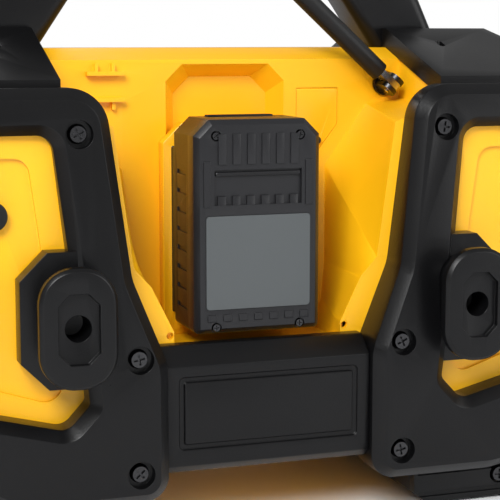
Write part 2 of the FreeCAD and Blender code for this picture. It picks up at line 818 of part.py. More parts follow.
def battery_dock():
    """Raised pedestal on the bay's panel with two rails that hold the pack's tongue."""
    body = node("battery_dock")
    along_y(body, "Pad", REAR, "bay_panel - recess_deep", "bay_panel",
            rectangle("-recess_half + recess_slope + 1", "recess_half - recess_slope - 1",
                      "recess_low + recess_slope + 1", "dock_top - 4"))
    along_y(body, "Pad", REAR, "bay_panel", "dock_face", [
        ("-dock_half", "bay_floor"), ("dock_half", "bay_floor"), ("dock_half", "dock_top - dock_cut"),
        ("dock_half - dock_cut", "dock_top"), ("-dock_half + dock_cut", "dock_top"),
        ("-dock_half", "dock_top - dock_cut")])
    for side, _ in SIDES:
        web_in = "rail_in + rail_lip"
        lip = "dock_face + rail_reach - rail_lip_thick"
        along_y(body, "Pad", REAR, "dock_face", "dock_face + rail_reach",
                across(side, rectangle(web_in, f"{web_in} + rail_web", "rail_low", "rail_top")))
        along_y(body, "Pad", REAR, lip, "dock_face + rail_reach",
                across(side, rectangle("rail_in", web_in, "rail_low", "rail_top")))
    along_y(body, "Pad", REAR, "dock_face", "dock_face + rail_reach - rail_lip_thick",
            rectangle("-rail_in + 1", "rail_in - 1", "pack_low - 3", "pack_low + 6"))
    return body


def dock_blades():
    """The contact blades that stand in the slots of the pack's tongue."""
    body = node("dock_blades")
    middle = "dock_face + rail_reach / 2 - rail_lip_thick / 2"
    outlines = []
    for number in range(int(value("blade_count"))):
        x = f"({number} - (blade_count - 1) / 2) * blade_pitch"
        outlines.append(centred(x, middle, "blade_thick", "blade_wide"))
    along_z(body, "Pad", "pack_low + 6", "pack_low + 6 + blade_tall", *outlines)
    return body


def pack_outline(inset="0"):
    """The pack seen from the rear, with cut upper corners."""
    half = f"(pack_half - {inset})"
    return [(f"-{half}", f"pack_low + {inset}", "3"), (half, f"pack_low + {inset}", "3"),
            (half, f"pack_top - {inset} - pack_cut"), (f"{half} - pack_cut", f"pack_top - {inset}"),
            (f"-{half} + pack_cut", f"pack_top - {inset}"), (f"-{half}", f"pack_top - {inset} - pack_cut")]


def pack_base():
    """Inner half of the battery case: tongue, rails, cell space and button pocket."""
    body = node("pack_base")
    under = "dock_face + gap"
    neck = "dock_face + rail_reach - rail_lip_thick - gap"
    tongue_low = "pack_low + 6 + gap"
    along_y(body, "Pad", REAR, "pack_back", "pack_seam", pack_outline())
    along_y(body, "Pad", REAR, under, neck,
            rectangle("-rail_in - rail_lip + gap", "rail_in + rail_lip - gap", tongue_low, "pack_top - 6"))
    along_y(body, "Pad", REAR, neck, "pack_back",
            rectangle("-rail_in + gap", "rail_in - gap", tongue_low, "pack_top - 6"))
    along_y(body, "Pocket", REAR, "pack_back + pack_wall", "pack_seam",
            rectangle("-pack_half + pack_wall", "pack_half - pack_wall", "pack_low + 7", "pack_top - 18"))
    slots = []
    middle = "dock_face + rail_reach / 2 - rail_lip_thick / 2"
    for number in range(int(value("blade_count"))):
        x = f"({number} - (blade_count - 1) / 2) * blade_pitch"
        slots.append(centred(x, middle, "(blade_thick + 1)", "(blade_wide + 1)"))
    along_z(body, "Pocket", tongue_low, f"{tongue_low} + blade_tall + 1", *slots)
    along_z(body, "Pocket", "pack_top - button_tall - gap", "pack_top",
            rectangle("-button_half - gap", "button_half + gap", "pack_back + button_setback",
                      "pack_back + button_setback + button_thick + button_travel + 2 * gap"))
    ribs = []
    for number in range(8):
        level = f"pack_low + 12 + {number} * 11"
        ribs.append(rectangle("pack_back + 6", "pack_seam - 3", level, f"{level} + 2.5"))
    along_x(body, "Pocket", "pack_half - 0.8", "pack_half", *ribs)
    along_x(body, "Pocket", "-pack_half", "-pack_half + 0.8", *ribs)
    along_y(body, "Pocket", REAR, "pack_face - 2 - pack_screw_long - gap", "pack_seam", *pack_screw_circles("0.2"))
    return body


def pack_screw_circles(grow, radius="pack_screw_shank"):
    """The four case screws, as circles."""
    return [("circle", f"{side} * pack_screw_x", level, f"{radius} + {grow}")
            for side, _ in SIDES for level in ("pack_low + 3.6", "pack_top - pack_screw_edge - 3")]


def pack_cover():
    """Outer half of the battery case: label seat, grip scoop and finger ribs."""
    body = node("pack_cover")
    along_y(body, "Pad", REAR, "pack_seam", "pack_face", pack_outline())
    ease_edges(body, "Chamfer", "pack_bevel", flat_in_y("pack_face"))
    along_y(body, "Pocket", REAR, "pack_seam", "pack_face - pack_wall - 0.5",
            rectangle("-pack_half + pack_wall", "pack_half - pack_wall", "pack_low + 7", "pack_top - 18"))
    along_y(body, "Pocket", REAR, "pack_face - label_thick / 2", "pack_face",
            rectangle("-label_half - 0.2", "label_half + 0.2", "label_low - 0.2", "label_low + label_tall + 0.2",
                      "label_round"))
    along_y(body, "Pocket", REAR, "pack_face - scoop_deep", "pack_face",
            rectangle("-scoop_half", "scoop_half", "scoop_low", "scoop_low + scoop_tall"))
    fingers = []
    combs = []
    for number in range(int(value("finger_count"))):
        x = f"({number} - (finger_count - 1) / 2) * finger_pitch"
        fingers.append(centred(x, "finger_low + finger_tall / 2", "finger_wide", "finger_tall"))
        combs.append(centred(x, "scoop_low + 2.5", "finger_wide", "5"))
    along_y(body, "Pad", REAR, "pack_face", "pack_face + finger_proud", *fingers)
    along_y(body, "Pad", REAR, "pack_face - scoop_deep", "pack_face - 0.4", *combs)
    along_y(body, "Pocket", REAR, "pack_face - 1", "pack_face",
            *[across(side, rectangle("scoop_half + 3", "scoop_half + 6", "scoop_low", "scoop_low + 25"))
              for side, _ in SIDES])
    along_y(body, "Pocket", REAR, "pack_face - 2", "pack_face", *pack_screw_circles("0.4", "pack_screw_head"))
    along_y(body, "Pocket", REAR, "pack_seam", "pack_face", *pack_screw_circles("0.2"))
    return body


def pack_label():
    """The bare plate on the pack's face."""
    body = node("pack_label")
    along_y(body, "Pad", REAR, "pack_face - label_thick / 2", "pack_face + label_thick / 2",
            rectangle("-label_half", "label_half", "label_low", "label_low + label_tall", "label_round"))
    return body


def pack_button():
    """The release button that slides away from the dock in the pack's top."""
    body = node("pack_release_button")
    near = "pack_back + button_setback + gap"
    along_z(body, "Pad", "pack_top - button_tall", "pack_top - 1",
            rectangle("-button_half", "button_half", near, f"{near} + button_thick"))
    along_z(body, "Pad", "pack_top - 1", "pack_top + 1",
            *[rectangle("-button_half", "button_half", f"{near} + {step}", f"{near} + {step} + 1.2")
              for step in (0.8, 3, 5.2)])
    return body


def pack_cells():
    """Ten cells lying across the pack in two columns."""
    body = node("pack_cells")
    circles = []
    for column in (0, 1):
        y = f"pack_back + pack_wall + 0.2 + cell_radius + {column} * (2 * cell_radius + 0.2)"
        for number in range(int(value("cell_rows"))):
            circles.append(("circle", y, f"pack_low + 7.2 + cell_radius + {number} * cell_pitch", "cell_radius"))
    along_x(body, "Pad", "-cell_long / 2", "cell_long / 2", *circles)
    return body


def pack_frames():
    """The two plates that hold the cells by their ends."""
    body = node("pack_cell_frames")
    for side, _ in SIDES:
        start, end = ("cell_long / 2", "pack_half - pack_wall - 0.2")
        if side == -1:
            start, end = (f"-({end})", f"-({start})")
        along_x(body, "Pad", start, end,
                rectangle("pack_back + pack_wall + 0.5", "pack_face - pack_wall - 1",
                          "pack_low + 7.3", "pack_top - 18.3"))
    return body


def pack_screws():
    """The four small screws of the battery case."""
    body = node("pack_screws")
    along_y(body, "Pad", REAR, "pack_face - 2 - pack_screw_long", "pack_face - 2", *pack_screw_circles("0"))
    along_y(body, "Pad", REAR, "pack_face - 2", "pack_face", *pack_screw_circles("0", "pack_screw_head"))
    return body


def stand_antenna(body):
    """Place a body made round the antenna's pivot with the mast along X."""
    body.Placement = Placement(Vector(0, 0, 0), Rotation(Vector(0, -1, 0), value("antenna_angle")))
    bind(body, "Placement.Base.x", "-antenna_x")
    bind(body, "Placement.Base.y", "antenna_y")
    bind(body, "Placement.Base.z", "antenna_z")
    bind(body, "Placement.Rotation.Angle", "antenna_angle")
    return body


def antenna_parts():
    """Turret with fork, its retainer, the pin, the metal tang and the rubber mast."""
    sunk = "-(antenna_y - bay_panel + antenna_scoop_deep - gap)"
    turret = node("antenna_turret")
    along_y(turret, "Pad", REAR, sunk, f"{sunk} + turret_thick", ("circle", "0", "0", "turret_radius"))
    along_y(turret, "Pad", REAR, "-(antenna_y - bay_panel + wall + 4)", sunk, ("circle", "0", "0", "stem_radius"))
    along_z(turret, "Pad", "-fork_half", "fork_half", [
        ("-fork_round", f"{sunk} + turret_thick"), ("fork_round", f"{sunk} + turret_thick"),
        ("fork_round", "fork_round", "fork_round * 0.9"), ("-fork_round", "fork_round", "fork_round * 0.9")])
    along_z(turret, "Pocket", "-tang_half - gap", "tang_half + gap",
            rectangle("-fork_round - 1", "fork_round + 1", "-fork_round - 1", "fork_round + 1"))
    along_z(turret, "Pocket", "-fork_half", "fork_half", ("circle", "0", "0", "pin_radius + 0.05"))
    retainer = node("antenna_retainer")
    inside = "-(antenna_y - bay_panel + wall + gap)"
    along_y(retainer, "Pad", REAR, f"{inside} - 2.5", inside, ("circle", "0", "0", "stem_radius + 3"),
            ("circle", "0", "0", "stem_radius + 0.05"))
    pin = node("antenna_pin")
    along_z(pin, "Pad", "-fork_half - 0.5", "fork_half + 0.5", ("circle", "0", "0", "pin_radius"))
    tang = node("antenna_tang")
    along_z(tang, "Pad", "-tang_half", "tang_half", [
        ("-fork_round + 0.6", "-fork_round + 0.6", "fork_round * 0.7"), ("antenna_start", "-fork_round + 0.6"),
        ("antenna_start", "fork_round - 0.6"), ("-fork_round + 0.6", "fork_round - 0.6", "fork_round * 0.7")])
    along_x(tang, "Pad", "antenna_start", "antenna_start + 8", ("circle", "0", "0", "tang_half + 1"))
    along_z(tang, "Pocket", "-tang_half", "tang_half", ("circle", "0", "0", "pin_radius + 0.05"))
    mast = node("antenna_mast")
    along_x(mast, "Pad", "antenna_start", "antenna_long", ("circle", "0", "0", "antenna_radius"))
    ease_edges(mast, "Chamfer", "1.5", flat_in_x("antenna_long"))
    along_x(mast, "Pocket", "antenna_start", "antenna_start + 8.2", ("circle", "0", "0", "tang_half + 1.1"))
    return [stand_antenna(body) for body in (turret, retainer, pin, tang, mast)]


def backup_parts():
    """Door of the backup battery, its screw and the coin cell behind it."""
    door = node("backup_battery_door")
    along_y(door, "Pad", REAR, "bay_panel - door_thick", "bay_panel", door_corners("gap", DOOR_AXIS))
    along_x(door, "Pad", "-door_out + gap", "-door_in - gap",
            ("circle", "bay_panel - door_thick / 2", DOOR_AXIS, "door_thick / 2"))
    along_x(door, "Pad", "-door_out - door_pin_long", "-door_in + door_pin_long",
            ("circle", "bay_panel - door_thick / 2", DOOR_AXIS, "door_pin"))
    along_y(door, "Pocket", REAR, "bay_panel - door_thick", "bay_panel",
            ("circle", "-door_screw_x", "door_screw_z", "1.5"))
    screw = node("backup_door_screw")
    along_y(screw, "Pad", REAR, "bay_panel - 6", "bay_panel", ("circle", "-door_screw_x", "door_screw_z", "1.2"))
    along_y(screw, "Pad", REAR, "bay_panel", "bay_panel + 1.5", ("circle", "-door_screw_x", "door_screw_z", "2.6"))
    cell = node("backup_coin_cell")
    seat = "bay_panel - wall - coin_deep"
    along_y(cell, "Pad", REAR, seat, f"{seat} + coin_thick",
            ("circle", "-(door_in + door_out) / 2", "door_top - coin_radius - 4", "coin_radius"))
    return [door, screw, cell]


def side_rail(side, name):
    """The upright ring on the housing's flank, between the front and rear loops."""
    body = node(name)
    start, end = ("body_half", "body_half + rail_side_thick")
    if side == -1:
        start, end = (f"-({end})", f"-({start})")
    along_x(body, "Pad", start, end,
            rectangle("-front_depth", "rear_depth", "rail_side_low", "rail_side_top"),
            rectangle("-front_depth + rail_side_bar", "rear_depth - rail_side_bar",
                      "rail_side_low + rail_side_bar", "rail_side_top - rail_side_bar", "rail_side_round"))
    return body


def shoulder_corners(side, drop):
    """Section of a shoulder cap that follows the housing's top and its cut corner."""
    top = f"(body_top - {drop})"
    turn = "(body_top - top_cut)"
    crest = f"(body_half - top_cut + {drop})"
    outer = "(body_half + shoulder_thick)"
    return across(side, [
        ("shoulder_in", top), (crest, top), ("body_half", turn), ("body_half", "rail_side_top + 1"),
        (outer, "rail_side_top + 1"), (outer, f"{turn} + 5"), (f"{crest} + 5", f"{top} + shoulder_thick"),
        ("shoulder_in", f"{top} + shoulder_thick")])


def shoulder(side, name):
    """The cap over one top corner of the housing, notched for the handle's foot."""
    body = node(name)
    along_y(body, "Pad", REAR, "-(front_depth - slope_run)", "rear_depth - slope_run", shoulder_corners(side, "0"))
    for facing in (REAR, FRONT):
        depth = depth_of(facing)
        loft_y(body, "Additive", facing, f"{depth} - slope_run", shoulder_corners(side, "0"),
               depth, shoulder_corners(side, "slope_drop"))
    along_z(body, "Pocket", "body_top - slope_drop", "body_top + shoulder_thick + 1",
            across(side, rectangle("shoulder_in - 5", "leg_out + gap", "-handle_front - gap", "handle_rear + gap")),
            across(side, centred("slot_x", "slot_y", "slot_wide", "slot_long", "slot_wide / 2 - 0.1")))
    return body


def handle_side(side):
    """Outer and inner corners of one leg of the carrying handle, from the foot up."""
    outer = across(side, [
        ("leg_out", "body_top"), ("leg_out - 4", "body_top + 12"), ("leg_out - 12", "body_top + 29", "20"),
        ("leg_out - 26", "body_top + 55", "handle_bend"), ("leg_out - 52", "handle_top - 5", "handle_bend"),
        ("leg_out - 72", "handle_top", "30")])
    inner = across(side, [
        ("leg_in", "body_top"), ("leg_in - 19", "body_top + 28", "30"), ("leg_in - 33", "body_top + 45", "handle_bend"),
        ("leg_in - 45", "handle_top - handle_bar", "handle_bend / 2")])
    return outer, inner


def carry_handle():
    """The arched handle with its feet on the housing, grooved for the soft grip."""
    body = node("carry_handle")
    outer, inner = handle_side(1)
    outer_left, inner_left = handle_side(-1)
    along_y(body, "Pad", REAR, "-handle_front", "handle_rear", outer + outer_left[::-1] + inner_left + inner[::-1])
    rear, front, foot = value("handle_rear"), value("-handle_front"), value("body_top")

    def rim(edge):
        box = edge.BoundBox
        flat = box.YMax - box.YMin < 0.01 and (abs(box.YMax - rear) < 0.01 or abs(box.YMax - front) < 0.01)
        return flat and box.ZMax - foot > 0.01

    ease_edges(body, "Fillet", "handle_round", rim)
    along_x(body, "Pocket", "-grip_half", "grip_half",
            rectangle("-handle_front - 5", "handle_rear + 5", "handle_top - handle_bar - 5", "handle_top + 5"),
            grip_core("grip_thick"))
    return body


def grip_core(inset, radius="handle_round"):
    """Section of the handle's bar, drawn in by inset."""
    return rectangle(f"-handle_front + {inset}", f"handle_rear - {inset}",
                     f"handle_top - handle_bar + {inset}", f"handle_top - {inset}", radius)


def handle_grip():
    """The soft sleeve in the handle's groove."""
    body = node("handle_grip")
    along_x(body, "Pad", "-grip_half + gap", "grip_half - gap", grip_core("0"), grip_core("(grip_thick - gap)"))
    return body


def skid_corners(side, top):
    """Section of a base skid: under the housing, or short under the loop."""
    low = [("skid_out", "skid_low + 28.5"), ("skid_out - 11", "skid_low + 4.5"), ("skid_out - 19", "skid_low"),
           ("skid_in + 10", "skid_low"), ("skid_in + 2", "skid_low + 6.5")]
    if top == "housing":
        return across(side, [
            ("skid_in", "body_low"), ("body_half - low_cut_x", "body_low"), ("body_half", "body_low + low_cut_z"),
            ("skid_out + 7", "body_low + low_cut_z")] + low)
    return across(side, [
        ("skid_in + 1.5", "guard_low - gap"), ("sweep_x", "guard_low - gap"),
        ("sweep_x + 38", "guard_low + 36.6"), ("skid_out", "guard_low + 36.6")] + low)


def base_skid(side, name):
    """The foot that runs along the radio under one side, with grooved ends."""
    body = node(name)
    along_y(body, "Pad", REAR, "-front_depth", "rear_depth", skid_corners(side, "housing"))
    for facing in (REAR, FRONT):
        end = depth_of(facing)
        along_y(body, "Pad", facing, end, f"{end} + skid_reach", skid_corners(side, "loop"))
        along_y(body, "Pocket", facing, f"{end} + skid_reach - 1.5", f"{end} + skid_reach",
                *[across(side, rectangle("skid_in + 4", "skid_out - 16", level, f"{level} + skid_groove"))
                  for level in ("skid_low + 3.5", "skid_low + 17")])
    along_z(body, "Pocket", "skid_low", "foot_pad_thick", *pad_outlines(side, "gap"))
    along_y(body, "Pocket", REAR, "rear_depth + skid_reach - 14", "rear_depth + skid_reach",
            *rings((side,), [("foot_screw_x", "foot_screw_z")], "screw_shank + gap"))
    along_y(body, "Pocket", REAR, "rear_depth + skid_reach - 2", "rear_depth + skid_reach",
            *rings((side,), [("foot_screw_x", "foot_screw_z")], "screw_head + gap"))
    return body


def pad_outlines(side, grow):
    """The two foot pads of one skid, seen from below."""
    wide = f"(foot_pad_wide + 2 * {grow})"
    long = f"(foot_pad_long + 2 * {grow})"
    return [across(side, centred("foot_pad_x", middle, wide, long, "6"))
            for middle in ("foot_pad_y", "-foot_pad_y - 10")]


def foot_pads():
    """Four rubber pads let into the skids."""
    body = node("foot_pads")
    along_z(body, "Pad", "0", "foot_pad_thick", *pad_outlines(1, "0"), *pad_outlines(-1, "0"))
    return body


def foot_screws():
    """One screw in the rear end of each skid."""
    body = node("foot_screws")
    seat = "rear_depth + skid_reach - 2"
    spots = [("foot_screw_x", "foot_screw_z")]
    along_y(body, "Pad", REAR, f"{seat} - 12", seat, *rings((1, -1), spots, "screw_shank"))
    along_y(body, "Pad", REAR, seat, f"{seat} + screw_head_tall", *rings((1, -1), spots, "screw_head"))
    return body


def speakers():
    """Baskets, cones, magnets and grilles of the two speakers."""
    face = "-(front_depth + plateau_rise)"
    rim = f"{face} + flange_thick"
    back = f"{face} + basket_deep"
    profiles = (
        ("speaker_frames", [
            ("cone_radius + 1.5", f"{face} - flange_thick"), ("speaker_flange", f"{face} - flange_thick"),
            ("speaker_flange", face), ("speaker_hole - gap", face), ("speaker_hole - gap", f"{face} + 7"),
            ("basket_neck + 1", f"{back} - 2"), ("basket_neck + 1", back), ("cone_neck", back),
            ("cone_neck", f"{back} - 2.5"), ("basket_neck - 1", f"{back} - 2.5"),
            ("cone_radius - 1", f"{rim} + 5"), ("cone_radius - 1", rim), ("cone_radius + 1.5", rim)]),
        ("speaker_cones", [
            ("0", f"{rim} + cone_deep - 4"), ("cone_neck - 2", f"{rim} + cone_deep - 2"),
            ("cone_neck", f"{rim} + cone_deep"), ("cone_radius - 2.5", f"{rim} - cone_thick"),
            ("cone_radius + 1.2", f"{rim} - cone_thick"), ("cone_radius + 1.2", rim), ("cone_radius - 2", rim),
            ("cone_neck + 0.5", f"{rim} + cone_deep + cone_thick"), ("0", f"{rim} + cone_deep + cone_thick")]),
        ("speaker_magnets", [
            ("cone_neck / 2", back), ("magnet_radius", back), ("magnet_radius", f"{back} + magnet_long"),
            ("cone_neck / 2", f"{back} + magnet_long")]))
    for name, corners in profiles:
        body = node(name)
        for side, _ in SIDES:
            turned(body, "Revolution", corners, f"{side} * speaker_x", "speaker_z")
    grilles = node("speaker_grilles")
    near = "front_depth + plateau_rise + flange_thick"
    for side, _ in SIDES:
        slots = []
        for number in range(int(value("slot_count"))):
            rise = f"(({number} - (slot_count - 1) / 2) * slot_pitch)"
            slots.append(centred(f"{side} * speaker_x", f"speaker_z + {rise}",
                                 f"(2 * sqrt(slot_reach * slot_reach - {rise} * {rise}))", "slot_tall"))
        along_y(grilles, "Pad", FRONT, near, f"{near} + grille_thick",
                ("circle", f"{side} * speaker_x", "speaker_z", "speaker_window - gap"), *slots)


def key_spots():
    """Name and middle of each key, in two rows of three."""
    return [(f"key_{row}_{word}", f"{column} * key_pitch_x", f"key_z + {row - 1} * key_pitch_z")
            for row in (1, 2) for column, word in ((1, "right"), (0, "middle"), (-1, "left"))]


def control_panel():
    """The recessed front panel: lens seat, openings for keys, knobs and ports, board posts."""
    body = node("control_panel")
    back = "front_depth - panel_sink"
    face = f"{back} + panel_thick"
    keys = [centred(x, z, "(2 * key_half + 2 * gap)", "(key_tall + 2 * gap)") for _, x, z in key_spots()]
    along_y(body, "Pad", FRONT, back, face,
            rectangle("-panel_half", "panel_half", "panel_low", "panel_top"),
            rectangle("-lens_half + lens_lip", "lens_half - lens_lip", "lens_low + lens_lip",
                      "lens_low + lens_tall - lens_lip"),
            rectangle("-cover_half + 4", "cover_half - 4", "cover_low + 3", "cover_low + cover_tall - 3"),
            *keys, *rings((1, -1), [("knob_x", "knob_z")], "shaft_radius + gap"))
    along_y(body, "Pocket", FRONT, f"{face} - lens_thick", face,
            rectangle("-lens_half", "lens_half", "lens_low", "lens_low + lens_tall"))
    along_y(body, "Pocket", FRONT, f"{face} - cover_thick", face,
            rectangle("-cover_half - gap", "cover_half + gap", "cover_low - gap", "cover_low + cover_tall + gap"))
    along_y(body, "Pocket", FRONT, f"{face} - 2 * hinge_radius - 2 * gap", f"{face} - cover_thick",
            rectangle("-cover_half - gap", "cover_half + gap", "cover_low - gap", "cover_low + 2 * hinge_radius + gap"))
    along_x(body, "Pocket", "-cover_half - 2", "cover_half + 2",
            ("circle", f"-({face} - hinge_radius)", "cover_low + hinge_radius", "pin_thin + 0.1"))
    along_y(body, "Pad", FRONT, "board_face", back,
            *rings((1, -1), [("board_half - 3", "cover_low + 6"), ("board_half - 3", "key_z + 18")], "post_radius / 2"))
    return body


def display_lens():
    """The clear lens over the display."""
    face = "front_depth - panel_sink + panel_thick"
    lens = node("display_lens")
    along_y(lens, "Pad", FRONT, f"{face} - lens_thick", face,
            rectangle("-lens_half + gap", "lens_half - gap", "lens_low + gap", "lens_low + lens_tall - gap"))
    return lens


def keys():
    """Six push keys, each with a flange behind the panel."""
    made = []
    for name, x, z in key_spots():
        body = node(name)
        flange = "front_depth - panel_sink - gap"
        along_y(body, "Pad", FRONT, f"{flange} - key_flange", flange,
                centred(x, z, "(2 * key_half + 2.4)", "(key_tall + 2.4)"))
        along_y(body, "Pad", FRONT, flange, "front_depth - panel_sink + panel_thick + key_proud",
                centred(x, z, "(2 * key_half)", "key_tall"))
        made.append(body)
    return made


def knob(side, name):
    """A fluted knob with its shaft."""
    body = node(name)
    near = "front_depth - panel_sink + panel_thick + 0.5"
    middle = f"{side} * knob_x"
    along_y(body, "Pad", FRONT, near, f"{near} + knob_long", ("circle", middle, "knob_z", "knob_radius"))
    ease_edges(body, "Chamfer", "1.2", flat_in_y(f"-({near} + knob_long)"))
    count = int(value("knob_flutes"))
    flutes = []
    for number in range(count):
        turn = 2 * math.pi * number / count
        flutes.append(("circle", f"{middle} + {math.cos(turn):.4f} * knob_radius",
                       f"knob_z + {math.sin(turn):.4f} * knob_radius", "flute_radius"))
    along_y(body, "Pocket", FRONT, near, f"{near} + knob_long", *flutes)
    along_y(body, "Pad", FRONT, "front_depth - panel_sink + 0.1", near, ("circle", middle, "knob_z", "shaft_radius"))
    return body


def port_corners(grow):
    """Outline of the block of sockets."""
    return rectangle(f"-cover_half + 4.5 - {grow}", f"cover_half - 4.5 + {grow}",
                     f"cover_low + 3.5 - {grow}", f"cover_low + cover_tall - 3.5 + {grow}")


def port_parts():
    """The flap over the ports, with its stub pins, and the block of sockets behind it."""
    face = "front_depth - panel_sink + panel_thick"
    pivot = ("circle", f"-({face} - hinge_radius)", "cover_low + hinge_radius")
    cover = node("port_cover")
    along_y(cover, "Pad", FRONT, f"{face} - cover_thick", face,
            rectangle("-cover_half", "cover_half", "cover_low + hinge_radius", "cover_low + cover_tall", "1"))
    along_x(cover, "Pad", "-cover_half", "cover_half", (*pivot, "hinge_radius"))
    along_x(cover, "Pad", "-cover_half - 1.8", "cover_half + 1.8", (*pivot, "pin_thin"))
    block = node("port_block")
    level = "cover_low + cover_tall / 2"
    near = f"{face} - 2 * hinge_radius - 2 * gap - 0.3"
    along_y(block, "Pad", FRONT, "board_face - socket_deep + 1", near, port_corners("0"))
    along_y(block, "Pad", FRONT, "board_face - board_thick - 2", "board_face - board_thick", port_corners("1.5"))
    along_y(block, "Pocket", FRONT, f"{near} - socket_deep", near,
            centred("14", level, "13", "6"), ("circle", "-14", level, "2"))
    return [cover, block]


def boards():
    """The main board with its display and turned controls, and the charger board behind the bay."""
    main = node("main_board")
    along_y(main, "Pad", FRONT, "board_face - board_thick", "board_face",
            rectangle("-board_half", "board_half", "cover_low + 2", "panel_top - 6"), port_corners("gap"))
    along_y(main, "Pad", FRONT, "board_face", "board_face + 3",
            rectangle("-lens_half + 2", "lens_half - 2", "lens_low + 2", "lens_low + lens_tall - 2"),
            *[centred(f"{side} * knob_x", "knob_z", "(2 * encoder_half)", "(2 * encoder_half)") for side, _ in SIDES])
    charger = node("charger_board")
    along_y(charger, "Pad", REAR, "charger_y", "charger_y + board_thick",
            rectangle("-post_x - 6", "post_x + 6", "recess_low + 2", "recess_top - 30"))
    return [main, charger]


def transformer():
    """The mains transformer on the housing's floor: laminated core and its coil."""
    floor = "body_low + wall"
    core = node("transformer_core")
    leg = "core_half / 4"
    along_y(core, "Pad", FRONT, "core_y", "core_y + core_deep",
            rectangle("-core_half", "core_half", floor, f"{floor} + core_tall"),
            rectangle(leg, "3 * core_half / 4", f"{floor} + {leg}", f"{floor} + core_tall - {leg}"),
            rectangle("-3 * core_half / 4", f"-{leg}", f"{floor} + {leg}", f"{floor} + core_tall - {leg}"))
    coil = node("transformer_coil")
    along_z(coil, "Pad", f"{floor} + {leg} + gap", f"{floor} + core_tall - {leg} - gap",
            rectangle("-3 * core_half / 4 + gap", "3 * core_half / 4 - gap", "-(core_y + core_deep) - coil_bulge",
                      "-core_y + coil_bulge", "6"),
            rectangle(f"-{leg} - gap", f"{leg} + gap", "-(core_y + core_deep) - gap", "-core_y + gap"))
    return [core, coil]


def cord_gland():
    """The sleeve through which the mains cord enters."""
    body = node("cord_gland")
    seat = "rear_depth + plateau_rise - contour_sink"
    along_y(body, "Pad", REAR, seat, f"{seat} + gland_out", ("circle", "gland_x", "gland_z", "gland_radius"))
    along_y(body, "Pad", REAR, "rear_depth - wall - 1", seat, ("circle", "gland_x", "gland_z", "gland_radius - 3"))
    along_y(body, "Pocket", REAR, "rear_depth - wall - 1", f"{seat} + gland_out",
            ("circle", "gland_x", "gland_z", "gland_bore"))
    return body


def build():
    """Every piece of the radio, in the order of the assembly."""
    rear_housing()
    front_housing()
    for facing, word in ((REAR, "rear"), (FRONT, "front")):
        for side, hand in SIDES:
            guard(side, facing, f"{word}_guard_{hand}")
        crossbar(facing, f"{word}_crossbar")
    cage_screws()
    for side, hand in SIDES:
        side_rail(side, f"side_rail_{hand}")
        shoulder(side, f"shoulder_cap_{hand}")
        base_skid(side, f"base_skid_{hand}")
        cord_wrap(side, f"cord_wrap_{hand}")
    speakers()
    foot_pads()
    foot_screws()
    carry_handle()
    handle_grip()
    battery_dock()
    dock_blades()
    pack_base()
    pack_cover()
    pack_label()
    pack_button()
    pack_cells()
    pack_frames()
    pack_screws()
    antenna_parts()
    backup_parts()
    control_panel()
    display_lens()
    keys()
    knob(1, "volume_knob")
    knob(-1, "tuning_knob")
    port_parts()
    boards()
    transformer()
    cord_gland()
    doc.recompute()


def check_and_export():
    """Stop at any faulty feature or shape, then write one file for each node."""
    for item in doc.Objects:
        if "Invalid" in item.State or "Error" in item.State:
            raise RuntimeError(f"{item.Name}: {item.State}")
    os.makedirs("parts", exist_ok=True)
    for body in NODES:
        if body.Shape.isNull() or not body.Shape.isValid():
            raise RuntimeError(f"{body.Label}: no valid shape")
        body.Shape.exportStep(f"parts/{body.Label}.step")
    print(f"{len(NODES)} nodes written")


build()
check_and_export()
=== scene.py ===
"""Jobsite radio in a roll cage: the looks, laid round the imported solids."""
import json
import math

import bmesh
import bpy
from mathutils import Matrix, Vector


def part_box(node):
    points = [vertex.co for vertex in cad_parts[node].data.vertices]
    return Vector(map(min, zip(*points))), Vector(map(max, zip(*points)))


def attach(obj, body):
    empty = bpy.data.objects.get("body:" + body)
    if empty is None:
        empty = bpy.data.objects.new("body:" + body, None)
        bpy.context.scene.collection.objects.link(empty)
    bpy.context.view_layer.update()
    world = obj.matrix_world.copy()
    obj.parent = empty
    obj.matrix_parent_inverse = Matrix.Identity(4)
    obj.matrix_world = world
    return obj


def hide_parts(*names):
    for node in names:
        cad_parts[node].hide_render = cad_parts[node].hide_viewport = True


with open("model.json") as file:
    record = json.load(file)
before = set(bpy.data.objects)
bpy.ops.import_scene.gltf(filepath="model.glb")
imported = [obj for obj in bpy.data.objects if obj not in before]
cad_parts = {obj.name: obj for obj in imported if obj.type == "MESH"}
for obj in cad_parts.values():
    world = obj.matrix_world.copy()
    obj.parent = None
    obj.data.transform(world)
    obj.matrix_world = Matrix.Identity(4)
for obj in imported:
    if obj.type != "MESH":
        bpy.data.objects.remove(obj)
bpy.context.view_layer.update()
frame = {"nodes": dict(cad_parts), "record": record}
scene = bpy.context.scene
scene.view_settings.view_transform = "Standard"

# Camera: a long lens behind the radio, a little above it and off to its right side. The battery bay
# fills the middle of the frame, and the shoulders, the handle and the feet run out of it.
camera_data = bpy.data.cameras.new("camera")
camera_data.lens = 108
camera_data.sensor_width = 36
camera = bpy.data.objects.new("camera", camera_data)
camera.location = (0.276614, 0.892469, 0.277855)
yaw = math.radians(18.857)
pitch = math.radians(8.105)
look = Vector((-math.sin(yaw) * math.cos(pitch), -math.cos(yaw) * math.cos(pitch), -math.sin(pitch)))
camera.rotation_euler = look.to_track_quat("-Z", "Y").to_euler()
scene.collection.objects.link(camera)
scene.camera = camera

# Lamps: one broad soft lamp high behind the radio, at the left of the view, shows its shape. A second
# fills the shade from the right, and a third lights the front for the other views.
radio_middle = Vector((0, 0, 0.15))


